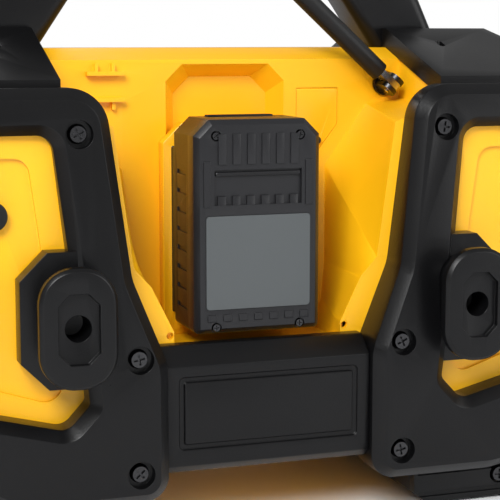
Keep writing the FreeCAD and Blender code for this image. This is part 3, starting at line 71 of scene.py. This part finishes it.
def lamp(name, spot, width, power):
    """A square soft lamp aimed at the radio's middle."""
    light = bpy.data.lights.new(name, "AREA")
    light.size = width
    light.energy = power
    holder = bpy.data.objects.new(name, light)
    holder.location = spot
    holder.rotation_euler = (radio_middle - Vector(spot)).to_track_quat("-Z", "Y").to_euler()
    scene.collection.objects.link(holder)


lamp("key_lamp", spot=(1.0, 1.5, 1.5), width=1.0, power=52)
lamp("fill_lamp", spot=(-1.5, 1.2, 0.9), width=1.4, power=17)
lamp("front_lamp", spot=(0.4, -1.8, 1.2), width=1.4, power=14)


# Room: a dim, slightly cool room lights the radio evenly. The camera sees plain white in its place,
# and glossy faces mirror a neutral light a little brighter than the room's.
class Value:
    """A shader socket that adds, subtracts and multiplies as a number does."""

    def __init__(self, shader, socket):
        self.shader = shader
        self.socket = socket

    def joined(self, operation, first, second):
        """One Math node on two values or numbers."""
        return self.shader.make("ShaderNodeMath", {"operation": operation}, {0: first, 1: second})

    def __add__(self, other):
        return self.joined("ADD", self, other)

    def __radd__(self, other):
        return self.joined("ADD", other, self)

    def __sub__(self, other):
        return self.joined("SUBTRACT", self, other)

    def __rsub__(self, other):
        return self.joined("SUBTRACT", other, self)

    def __mul__(self, other):
        return self.joined("MULTIPLY", self, other)

    def __rmul__(self, other):
        return self.joined("MULTIPLY", other, self)


class Shader:
    """The node tree of one material or of the world."""

    def __init__(self, owner):
        self.owner = owner
        owner.use_nodes = True
        self.tree = owner.node_tree
        self.surface = self.tree.nodes.get("Principled BSDF")

    def feed(self, socket, source):
        """A number or colour goes on the socket itself, and a Value is linked to it."""
        if isinstance(source, Value):
            self.tree.links.new(source.socket, socket)
        else:
            socket.default_value = source

    def make(self, kind, settings=(), inputs=(), output=0):
        """Any node: its settings first, then its sockets; gives one of its outputs."""
        node = self.tree.nodes.new(kind)
        for name, setting in dict(settings).items():
            setattr(node, name, setting)
        for name, source in dict(inputs).items():
            self.feed(node.inputs[name], source)
        return Value(self, node.outputs[output])

    def mixed(self, share, plain, other):
        """A colour between two colours; a Mix node takes colours at 6 and 7 and gives one at 2."""
        return self.make("ShaderNodeMix", {"data_type": "RGBA"}, {0: share, 6: plain, 7: other}, output=2)

    def finish(self, **sockets):
        """Feed the surface's own sockets; a name's underscore stands for a space."""
        for name, source in sockets.items():
            self.feed(self.surface.inputs[name.replace("_", " ")], source)
        return self.owner


room = Shader(bpy.data.worlds.new("studio"))
scene.world = room.owner
white = (1, 1, 1, 1)


def glow(colour, strength):
    """Light of one colour from all round."""
    return room.make("ShaderNodeBackground", inputs={"Color": colour, "Strength": strength})


seen = room.make("ShaderNodeLightPath", output="Is Camera Ray")
mirrored = room.make("ShaderNodeLightPath", output="Is Glossy Ray")
room_light = glow((0.86, 0.9, 1, 1), 0.34)
white_backdrop = glow(white, 1)
mirror_light = glow(white, 0.4)
unseen = room.make("ShaderNodeMixShader", inputs={0: mirrored, 1: room_light, 2: mirror_light})
whole_room = room.make("ShaderNodeMixShader", inputs={0: seen, 1: unseen, 2: white_backdrop})
world_end = next(node for node in room.tree.nodes if node.type == "OUTPUT_WORLD")
room.feed(world_end.inputs["Surface"], whole_room)

# Floor: a plain pale matt sheet, many times as wide as the radio. It isn't part of the radio and
# only takes its shadow.
floor_half = 4
floor_corners = [(-floor_half, -floor_half, 0), (floor_half, -floor_half, 0),
                 (floor_half, floor_half, 0), (-floor_half, floor_half, 0)]
floor_mesh = bpy.data.meshes.new("floor")
floor_mesh.from_pydata(floor_corners, [], [(0, 1, 2, 3)])
floor = bpy.data.objects.new("floor", floor_mesh)
scene.collection.objects.link(floor)
floor_look = Shader(bpy.data.materials.new("pale_floor"))
floor_mesh.materials.append(floor_look.finish(Base_Color=(0.86, 0.86, 0.86, 1), Roughness=0.6))

# Housing: two yellow shells and a small door, moulded in tough plastic from a finely spark-textured
# mould that rounds every corner. A copy of each solid gets its edges rounded and stands for it.
nodes = frame["nodes"]
record = frame["record"]
slots = {part["node"]: part["material_slot"] for part in record["subparts"]}
body_of = {name: body for body, members in record["behaviour"]["bodies"].items() for name in members}
looks = {}
weld_reach = 1e-6
flat_edge = math.radians(0.5)
sharp_edge = math.radians(25)
sharp_shade = math.radians(16)


def moulded(name, colour, roughness, grain, depth, patch=0.06, shine=0.5):
    """Plastic or rubber from a textured mould: grain is the texture's scale and depth its height in
    metres, and patch is how much darker the colour gets in soft, wide patches."""
    cloud_scale = 14.0
    pits_scale = grain * 0.6
    cloud_gloss = 0.14
    grain_gloss = 0.1
    shader = Shader(bpy.data.materials.new(name))
    where = shader.make("ShaderNodeTexCoord", output="Object")
    cloud = shader.make("ShaderNodeTexNoise", inputs={"Vector": where, "Scale": cloud_scale, "Detail": 3.0})
    fine = shader.make("ShaderNodeTexNoise", inputs={"Vector": where, "Scale": grain, "Detail": 2.0})
    pits = shader.make("ShaderNodeTexVoronoi", inputs={"Vector": where, "Scale": pits_scale})
    darker = tuple(part * (1 - patch) for part in colour) + (1,)
    tone = shader.mixed(cloud, darker, (*colour, 1))
    height = fine * 0.6 + pits * 0.4
    relief = shader.make("ShaderNodeBump", inputs={"Strength": 0.35, "Distance": depth, "Height": height})
    gloss = (cloud - 0.5) * cloud_gloss + (fine - 0.5) * grain_gloss + roughness
    return shader.finish(Base_Color=tone, Roughness=gloss, Normal=relief, Specular_IOR_Level=shine)


def evaluated(thing):
    """The mesh that an object's modifiers leave."""
    bpy.context.view_layer.update()
    return bpy.data.meshes.new_from_object(thing.evaluated_get(bpy.context.evaluated_depsgraph_get()))


def place(piece, body, slot_name, *replaced):
    """Hang a finished piece on its body and hide the solids that it stands for."""
    if piece.name not in scene.collection.objects:
        scene.collection.objects.link(piece)
    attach(piece, body)
    if replaced:
        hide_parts(*replaced)


def settled(piece, material):
    """Take the modified mesh as the piece's own, in one material, and mend wrong normals."""
    least_cosine = 0.25
    done = evaluated(piece)
    piece.modifiers.clear()
    piece.data = done
    done.materials.clear()
    done.materials.append(material)
    normals = done.corner_normals
    astray = [face for face in done.polygons
              if min(normals[loop].vector.dot(face.normal) for loop in face.loop_indices) < least_cosine]
    if astray and "custom_normal" in done.attributes:
        done.attributes.remove(done.attributes["custom_normal"])
        done.set_sharp_from_angle(angle=sharp_shade)


def welded(name):
    """A node's loose triangles, joined at their corners."""
    shape = bmesh.new()
    shape.from_mesh(nodes[name].data)
    bmesh.ops.remove_doubles(shape, verts=shape.verts, dist=weld_reach)
    return shape


def weigh_edges(shape, share, is_bold):
    """Bevel weights: 1 on the sharp edges that is_bold picks by their middle, share on the others."""
    weight = shape.edges.layers.float.new("bevel_weight_edge")
    for edge in shape.edges:
        if len(edge.link_faces) == 2 and edge.calc_face_angle() > sharp_edge:
            middle = (edge.verts[0].co + edge.verts[1].co) / 2
            edge[weight] = 1 if is_bold(middle) else share


def softened(name, material, reach, segments=3, cut=False, bold_reach=None, is_bold=None, slot_name=None):
    """A copy of a solid with rounded corners, which stands for it. Cut is for a shell with pierced
    faces: they are cut into small parts first. Bold edges are rounded by bold_reach."""
    shape = welded(name)
    bmesh.ops.dissolve_limit(shape, angle_limit=flat_edge, verts=shape.verts, edges=shape.edges)
    if cut:
        bmesh.ops.triangulate(shape, faces=[face for face in shape.faces if len(face.verts) > 4])
    if is_bold:
        weigh_edges(shape, reach / bold_reach, is_bold)
    mesh = bpy.data.meshes.new(name + "_moulded")
    shape.to_mesh(mesh)
    shape.free()
    for polygon in mesh.polygons:
        polygon.use_smooth = True
    piece = bpy.data.objects.new(name + "_moulded", mesh)
    scene.collection.objects.link(piece)
    rounding = piece.modifiers.new("rounding", "BEVEL")
    rounding.width = bold_reach if is_bold else reach
    rounding.segments = segments
    rounding.limit_method = "WEIGHT" if is_bold else "ANGLE"
    rounding.angle_limit = sharp_edge
    rounding.harden_normals = not cut
    rounding.miter_outer = "MITER_ARC"
    settled(piece, material)
    if cut:
        piece.data.set_sharp_from_angle(angle=sharp_shade)
    place(piece, body_of[name], slot_name or slots[name], name)


shell_finish = {"colour": (0.98, 0.49, 0.005), "roughness": 0.36, "grain": 1800.0, "depth": 0.00012}
looks["yellow_shell"] = moulded("yellow_shell", **shell_finish)
shell_round = 0.001
door_round = 0.0003
for name in ("rear_housing", "front_housing"):
    softened(name, looks["yellow_shell"], shell_round, cut=True)
softened("backup_battery_door", looks["yellow_shell"], door_round, segments=2)

# Roll cage and carrying handle: thick, semi-gloss black mouldings with generous round corners. The
# guards, bars, rails, caps and skids are screwed round the housing, and take the knocks.
guard_round = 0.0026
frame_round = 0.0022
looks["cage_black"] = moulded("cage_black", (0.0036, 0.0036, 0.004), 0.33, 1300.0, 0.00014, 0.3, 0.26)
for name in ("rear_guard_right", "rear_guard_left", "front_guard_right", "front_guard_left"):
    softened(name, looks["cage_black"], guard_round, segments=4)
for name in ("rear_crossbar", "front_crossbar", "side_rail_right", "side_rail_left",
             "shoulder_cap_right", "shoulder_cap_left", "base_skid_right", "base_skid_left",
             "carry_handle"):
    softened(name, looks["cage_black"], frame_round)

# Cord wraps: one black bobbin in the opening of each rear guard, moulded in the cage's plastic. Its
# front plate and the lug behind it hold the turns of the mains lead between them.
wrap_round = 0.0015
for name in ("cord_wrap_right", "cord_wrap_left"):
    softened(name, looks["cage_black"], wrap_round)

# Battery dock: a yellow pedestal moulded like the shell, with the black rails on its face that the
# pack slides down. The colour changes at the rails' foot, a plane across the depth.
rails_foot = 0.0461
small_round = 0.0006
pack_colour = (0.007, 0.007, 0.008)
dock_look = moulded("dock_pedestal", **shell_finish)
dock = Shader(dock_look)
dock_place = dock.make("ShaderNodeTexCoord", output="Object")
dock_depth = dock.make("ShaderNodeSeparateXYZ", inputs={0: dock_place}, output="Y")
on_rails = dock.make("ShaderNodeMath", {"operation": "GREATER_THAN"}, {0: dock_depth, 1: rails_foot})
shell_tone = Value(dock, dock.surface.inputs["Base Color"].links[0].from_socket)
dock.finish(Base_Color=dock.mixed(on_rails, shell_tone, (*pack_colour, 1)))
softened("battery_dock", dock_look, small_round, segments=2, slot_name="yellow_shell")

# Battery pack: a case of two black mouldings, the cover a shade greyer than the base, with a sprung
# release button. The case's outer edges are rounded much more than those of its face.
pack_low, pack_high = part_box("pack_cover")
pack_rim = 0.0042
pack_joint = 0.004
base_round = 0.0003
cover_round = 0.0004
case_round = 0.0014
looks["pack_black"] = moulded("pack_black", pack_colour, 0.34, 2200.0, 0.0001, 0.2, 0.35)
pack_face_grey = moulded("pack_face", (0.011, 0.011, 0.0125), 0.34, 2200.0, 0.0001, 0.15, 0.4)


def on_pack_rim(spot):
    """Whether a point is near the cover's sides or ends, but not at its joint with the base."""
    outside = (spot.x < pack_low.x + pack_rim or spot.x > pack_high.x - pack_rim
               or spot.z < pack_low.z + pack_rim or spot.z > pack_high.z - pack_rim)
    return outside and spot.y > pack_low.y + pack_joint


softened("pack_release_button", looks["pack_black"], small_round, segments=2)
softened("pack_base", looks["pack_black"], base_round, cut=True)
softened("pack_cover", pack_face_grey, cover_round, cut=True, bold_reach=case_round, is_bold=on_pack_rim)

# Rubber parts: the antenna's sleeve, the handle's grip, the knobs, the flap over the sockets and the
# lead's gland are moulded in matt black rubber, and pushed or bonded on.
looks["rubber_black"] = moulded("rubber_black", (0.006, 0.006, 0.006), 0.5, 2400.0, 0.0001, 0.2, 0.3)
for name in ("antenna_mast", "handle_grip", "volume_knob", "tuning_knob", "port_cover", "cord_gland"):
    softened(name, looks["rubber_black"], small_round, segments=2)


# Control panel, antenna turret and keys: the panel is a glossier black moulding, the turret a dark
# plated casting that turns in the housing, and the six keys are rubber, set in the panel.
def metal(name, colour, roughness, stretch=(1, 1, 1), metallic=1.0):
    """Metal with fine tool marks, drawn out along the axis where stretch is small."""
    marks_scale = 900.0
    stain_scale = 60.0
    stain_share = 0.75
    marks_depth = 0.00004
    marks_gloss = 0.12
    stain_gloss = 0.1
    shader = Shader(bpy.data.materials.new(name))
    where = shader.make("ShaderNodeTexCoord", output="Object")
    drawn = shader.make("ShaderNodeMapping", inputs={"Vector": where, "Scale": stretch})
    marks = shader.make("ShaderNodeTexNoise", inputs={"Vector": drawn, "Scale": marks_scale, "Detail": 3.0})
    stain = shader.make("ShaderNodeTexNoise", inputs={"Vector": where, "Scale": stain_scale, "Detail": 2.0})
    darker = tuple(part * stain_share for part in colour) + (1,)
    tone = shader.mixed(stain, darker, (*colour, 1))
    relief = shader.make("ShaderNodeBump", inputs={
        "Strength": 0.25, "Distance": marks_depth, "Height": marks})
    gloss = (marks - 0.5) * marks_gloss + (stain - 0.5) * stain_gloss + roughness
    return shader.finish(Base_Color=tone, Roughness=gloss, Normal=relief, Metallic=metallic)


looks["panel_black"] = moulded("panel_black", (0.01, 0.01, 0.011), 0.32, 2600.0, 0.00008, 0.2)
looks["screw_steel"] = metal("screw_steel", (0.07, 0.07, 0.073), 0.3)
panel_round = 0.0004
key_round = 0.0005
for name in ("control_panel", "antenna_turret"):
    softened(name, looks[slots[name]], panel_round, segments=2)
for row in (1, 2):
    for column in ("right", "middle", "left"):
        softened(f"key_{row}_{column}", looks["rubber_black"], key_round, segments=2)


# Screws: pan heads with a cross recess, in dark plated steel, driven into the cage, the skids, the
# pack's case and the backup door. One tree sets a screw at each point, turned by chance.
class Geometry:
    """The node tree of one repeated feature; its last steps realise and paint it."""

    def __init__(self, name, **inputs):
        self.tree = bpy.data.node_groups.new(name, "GeometryNodeTree")
        self.keys = {}
        self.add_input("Geometry", "Geometry")
        for key, (kind, default) in inputs.items():
            self.add_input(key, kind, default)
        self.tree.interface.new_socket(name="Geometry", in_out="OUTPUT", socket_type="NodeSocketGeometry")
        self.start = self.tree.nodes.new("NodeGroupInput")
        self.end = self.tree.nodes.new("NodeGroupOutput")

    def add_input(self, key, kind, default=None):
        """A named input, known to a modifier by its identifier."""
        socket = self.tree.interface.new_socket(name=key, in_out="INPUT", socket_type="NodeSocket" + kind)
        if default is not None:
            socket.default_value = default
        self.keys[key] = socket.identifier

    def given(self, key):
        """The group's own input of that name."""
        return self.start.outputs[list(self.keys).index(key)]

    def make(self, kind, settings=(), inputs=(), output=0):
        """Any node: settings, then sockets by name or number; gives one output."""
        made = self.tree.nodes.new(kind)
        for name, setting in dict(settings).items():
            setattr(made, name, setting)
        for name, source in dict(inputs).items():
            for item in source if isinstance(source, list) else [source]:
                if isinstance(item, bpy.types.NodeSocket):
                    self.tree.links.new(item, made.inputs[name])
                else:
                    made.inputs[name].default_value = item
        return made.outputs[output]

    def times(self, first, second):
        """The product of two numbers."""
        return self.make("ShaderNodeMath", {"operation": "MULTIPLY"}, {0: first, 1: second})

    def along(self, **parts):
        """A vector from its parts X, Y and Z; one that isn't named is 0."""
        return self.make("ShaderNodeCombineXYZ", inputs=parts)

    def moved(self, geometry, way):
        """Geometry shifted by a vector."""
        return self.make("GeometryNodeTransform", inputs={"Geometry": geometry, "Translation": way})

    def on_points(self, points, shape, **turn):
        """A copy of a shape at each point."""
        inputs = {"Points": points, "Instance": shape, **turn}
        return self.make("GeometryNodeInstanceOnPoints", inputs=inputs)

    def finish(self, geometry):
        """Realise the instances and set the material."""
        whole = self.make("GeometryNodeRealizeInstances", inputs={"Geometry": geometry})
        paint = {"Geometry": whole, "Material": self.given("Material")}
        painted = self.make("GeometryNodeSetMaterial", inputs=paint)
        self.tree.links.new(painted, self.end.inputs[0])

    def on(self, piece, **values):
        """Add a modifier with this tree, its inputs set before it is first evaluated."""
        modifier = piece.modifiers.new(self.tree.name, "NODES")
        modifier.node_group = self.tree
        for key, setting in values.items():
            modifier[self.keys[key]] = setting


screw = Geometry("cross_screw", Head=("Float", 0.0055), Height=("Float", 0.003), Shank=("Float", 0.0024),
                 Length=("Float", 0.026), Material=("Material", None))
head_sides = 40
shank_sides = 20
head = screw.given("Head")
height = screw.given("Height")
recess_wide = screw.times(head, 0.22)
recess_long = screw.times(head, 1.15)
head_top = screw.times(head, 0.8)
plain_head = screw.make("GeometryNodeMeshCone", inputs={
    "Vertices": head_sides, "Radius Bottom": head, "Radius Top": head_top, "Depth": height})
recess_bars = []
for wide, long in ((recess_wide, recess_long), (recess_long, recess_wide)):
    bar = screw.make("GeometryNodeMeshCube", inputs={"Size": screw.along(X=wide, Y=long, Z=height)})
    recess_bars.append(screw.moved(bar, screw.along(Z=height)))
crossed_head = screw.make("GeometryNodeMeshBoolean", {"operation": "DIFFERENCE", "solver": "EXACT"},
                          {"Mesh 1": plain_head, "Mesh 2": recess_bars, "Self Intersection": True})
shank = screw.make("GeometryNodeMeshCylinder", inputs={
    "Vertices": shank_sides, "Radius": screw.given("Shank"), "Depth": screw.given("Length")})
sunk_shank = screw.moved(shank, screw.along(Z=screw.times(screw.given("Length"), -0.5)))
one_screw = screw.make("GeometryNodeJoinGeometry", inputs={"Geometry": [crossed_head, sunk_shank]})
towards = screw.make("GeometryNodeInputNamedAttribute", {"data_type": "FLOAT_VECTOR"}, {"Name": "towards"})
aimed = screw.make("FunctionNodeAlignRotationToVector", {"axis": "Z"}, {"Vector": towards})
least_turn = 0.0
most_turn = 3.0
turn_seed = 5
chance = screw.make("FunctionNodeRandomValue", {"data_type": "FLOAT"},
                    {2: least_turn, 3: most_turn, "Seed": turn_seed}, output=1)
twist = screw.make("FunctionNodeAxisAngleToRotation", inputs={"Axis": (0, 0, 1), "Angle": chance})
turned = screw.make("FunctionNodeRotateRotation", {"rotation_space": "LOCAL"}, {0: aimed, 1: twist})
screw.finish(screw.on_points(screw.given("Geometry"), one_screw, Rotation=turned))


def islands(name):
    """The box of each separate solid in a node, in order of place."""
    shape = welded(name)
    left = set(shape.verts)
    boxes = []
    while left:
        found = [left.pop()]
        for vertex in found:
            for edge in vertex.link_edges:
                other = edge.other_vert(vertex)
                if other in left:
                    left.discard(other)
                    found.append(other)
        low = Vector(min(vertex.co[axis] for vertex in found) for axis in range(3))
        high = Vector(max(vertex.co[axis] for vertex in found) for axis in range(3))
        boxes.append((low, high))
    shape.free()
    return sorted(boxes, key=lambda box: tuple(round(part, 5) for part in box[0]))


def screws(name, head_radius, head_height, shank_radius):
    """Screws in the places of a node's solids, with their heads to the rear or to the front."""
    spots = []
    facings = []
    for low, high in islands(name):
        middle = (low + high) / 2
        facing = 1 if middle.y > 0 else -1
        outer = high.y if facing == 1 else low.y
        length = high.y - low.y - head_height
        spots.append((middle.x, outer - facing * head_height, middle.z))
        facings.append((0, facing, 0))
    mesh = bpy.data.meshes.new(name + "_points")
    mesh.from_pydata(spots, [], [])
    aim = mesh.attributes.new("towards", "FLOAT_VECTOR", "POINT")
    for index, facing in enumerate(facings):
        aim.data[index].vector = facing
    piece = bpy.data.objects.new(name + "_driven", mesh)
    scene.collection.objects.link(piece)
    screw.on(piece, Head=head_radius, Height=head_height, Shank=shank_radius, Length=length,
             Material=looks["screw_steel"])
    settled(piece, looks["screw_steel"])
    place(piece, body_of[name], slots[name], name)


for name in ("cage_screws", "foot_screws"):
    screws(name, head_radius=0.0054, head_height=0.0032, shank_radius=0.0024)
screws("pack_screws", head_radius=0.0025, head_height=0.002, shank_radius=0.0012)
screws("backup_door_screw", head_radius=0.0025, head_height=0.0015, shank_radius=0.0012)

# Grip marks on the pack's cover, moulded with it: a row of blocks below the label for the fingers, a
# low bar at each side of the finger scoop, and one round bar inside it.
block_row = Geometry("row_of_blocks", Count=("Int", 6), Pitch=("Float", 0.01), Block=("Vector", None),
                     Material=("Material", None))
gap_count = block_row.make("ShaderNodeMath", {"operation": "SUBTRACT"},
                           {0: block_row.given("Count"), 1: 1.0})
first_x = block_row.times(block_row.times(gap_count, block_row.given("Pitch")), -0.5)
line = block_row.make("GeometryNodeMeshLine", {"mode": "OFFSET"}, {
    "Count": block_row.given("Count"), "Start Location": block_row.along(X=first_x),
    "Offset": block_row.along(X=block_row.given("Pitch"))})
one_block = block_row.make("GeometryNodeMeshCube", inputs={"Size": block_row.given("Block")})
block_row.finish(block_row.on_points(line, one_block))


def blocks(name, middle, count, pitch, size, material, round_by=0.0004):
    """A row of rounded blocks along X on the pack, round its middle."""
    mesh = bpy.data.meshes.new(name)
    piece = bpy.data.objects.new(name, mesh)
    scene.collection.objects.link(piece)
    block_row.on(piece, Count=count, Pitch=pitch, Block=size, Material=material)
    rounding = piece.modifiers.new("rounding", "BEVEL")
    rounding.width = round_by
    rounding.segments = 2
    settled(piece, material)
    piece.data.transform(Matrix.Translation(middle))
    place(piece, "pack", "pack_black")


label_low, label_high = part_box("pack_label")
label_film = 0.0005
pack_face = label_high.y - label_film
block_y = pack_face + 0.0001
scoop_bar_y = pack_face - 0.0010
grip_z = label_low.z - 0.005
side_bar_z = label_high.z + 0.018
scoop_bar_z = label_high.z + 0.0235
blocks("pack_grip_blocks", Vector((0, block_y, grip_z)), count=7, pitch=0.0092,
       size=(0.0052, 0.0012, 0.0042), material=pack_face_grey)
blocks("pack_side_bars", Vector((0, block_y, side_bar_z)), count=2, pitch=0.0605,
       size=(0.0042, 0.0012, 0.026), material=pack_face_grey)
blocks("pack_scoop_bar", Vector((0, scoop_bar_y, scoop_bar_z)), count=1, pitch=0.01,
       size=(0.0505, 0.0018, 0.0024), material=looks["pack_black"], round_by=0.0008)

# Grip rings: low ribs moulded round the handle's rubber sleeve, one beside the other along its whole
# length. Each is a closed band that stands just proud of the sleeve.
grip_low, grip_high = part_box("handle_grip")
ring_count = 22
ring_margin = 0.003
ring_pitch = (grip_high.x - grip_low.x - 2 * ring_margin) / (ring_count - 1)
ring_foot = 0.0009
ring_crown = 0.0005
ring_height = 0.0004
sleeve_round = 0.007
round_steps = 6
half_y = (grip_high.y - grip_low.y) / 2
half_z = (grip_high.z - grip_low.z) / 2
middle_y = (grip_high.y + grip_low.y) / 2
middle_z = (grip_high.z + grip_low.z) / 2
ring_profile = ((-ring_foot, -ring_height), (-ring_crown, ring_height),
                (ring_crown, ring_height), (ring_foot, -ring_height))


def ring_outline(grow):
    """The sleeve's section, grown by a little."""
    points = []
    for turn, (sign_y, sign_z) in enumerate(((1, 1), (-1, 1), (-1, -1), (1, -1))):
        for step in range(round_steps + 1):
            angle = math.pi / 2 * (turn + step / round_steps)
            points.append((sign_y * (half_y - sleeve_round) + (sleeve_round + grow) * math.cos(angle),
                           sign_z * (half_z - sleeve_round) + (sleeve_round + grow) * math.sin(angle)))
    return points


def ring_loop(shape, x, grow):
    """One closed loop of points round the sleeve."""
    return [shape.verts.new((x, middle_y + y, middle_z + z)) for y, z in ring_outline(grow)]


def add_ring(shape, x):
    """One rib round the sleeve: four loops joined into a closed band."""
    loops = [ring_loop(shape, x + across, grow) for across, grow in ring_profile]
    loops.append(loops[0])
    count = len(loops[0])
    for near, far in zip(loops, loops[1:]):
        for index in range(count):
            after = (index + 1) % count
            shape.faces.new((near[index], near[after], far[after], far[index]))


ring_shape = bmesh.new()
for number in range(ring_count):
    add_ring(ring_shape, grip_low.x + ring_margin + number * ring_pitch)
bmesh.ops.recalc_face_normals(ring_shape, faces=ring_shape.faces)
ring_mesh = bpy.data.meshes.new("grip_rings")
ring_shape.to_mesh(ring_mesh)
ring_shape.free()
ring_mesh.materials.append(looks["rubber_black"])
rings = bpy.data.objects.new("grip_rings", ring_mesh)
place(rings, "radio", "rubber_black")

# Speakers, display lens, sockets, feet, antenna pin, label, contacts, cells, boards and transformer:
# bought or pressed parts, fixed in or on the mouldings. They keep the solids' own meshes.
looks["grille_metal"] = metal("grille_metal", (0.014, 0.014, 0.014), 0.42, metallic=0.2)
looks["cone_black"] = moulded("cone_black", (0.018, 0.018, 0.018), 0.7, 1500.0, 0.0002, 0.3, 0.3)
looks["magnet_iron"] = metal("magnet_iron", (0.1, 0.1, 0.1), 0.5, metallic=0.6)
looks["lens_clear"] = moulded("lens_smoked", (0.018, 0.024, 0.02), 0.09, 300.0, 0.00001, 0.3)
looks["bright_metal"] = metal("bright_metal", (0.6, 0.6, 0.62), 0.2, stretch=(1, 1, 0.05))
looks["label_grey"] = moulded("label_film", (0.075, 0.083, 0.085), 0.4, 3000.0, 0.00003, 0.08)
looks["contact_brass"] = metal("contact_brass", (0.6, 0.42, 0.15), 0.28, stretch=(1, 1, 0.1))
looks["cell_steel"] = moulded("cell_sleeve", (0.04, 0.16, 0.25), 0.3, 700.0, 0.00004, 0.2)
looks["board_green"] = moulded("board_green", (0.015, 0.1, 0.04), 0.35, 900.0, 0.00006, 0.3)
looks["core_steel"] = metal("core_steel", (0.12, 0.12, 0.12), 0.45, stretch=(1, 12, 1), metallic=0.7)
looks["coil_copper"] = metal("coil_copper", (0.5, 0.2, 0.07), 0.35, stretch=(1, 1, 14), metallic=0.9)
for name, node in nodes.items():
    if node.hide_render:
        continue
    node.data.materials.clear()
    node.data.materials.append(looks[slots[name]])
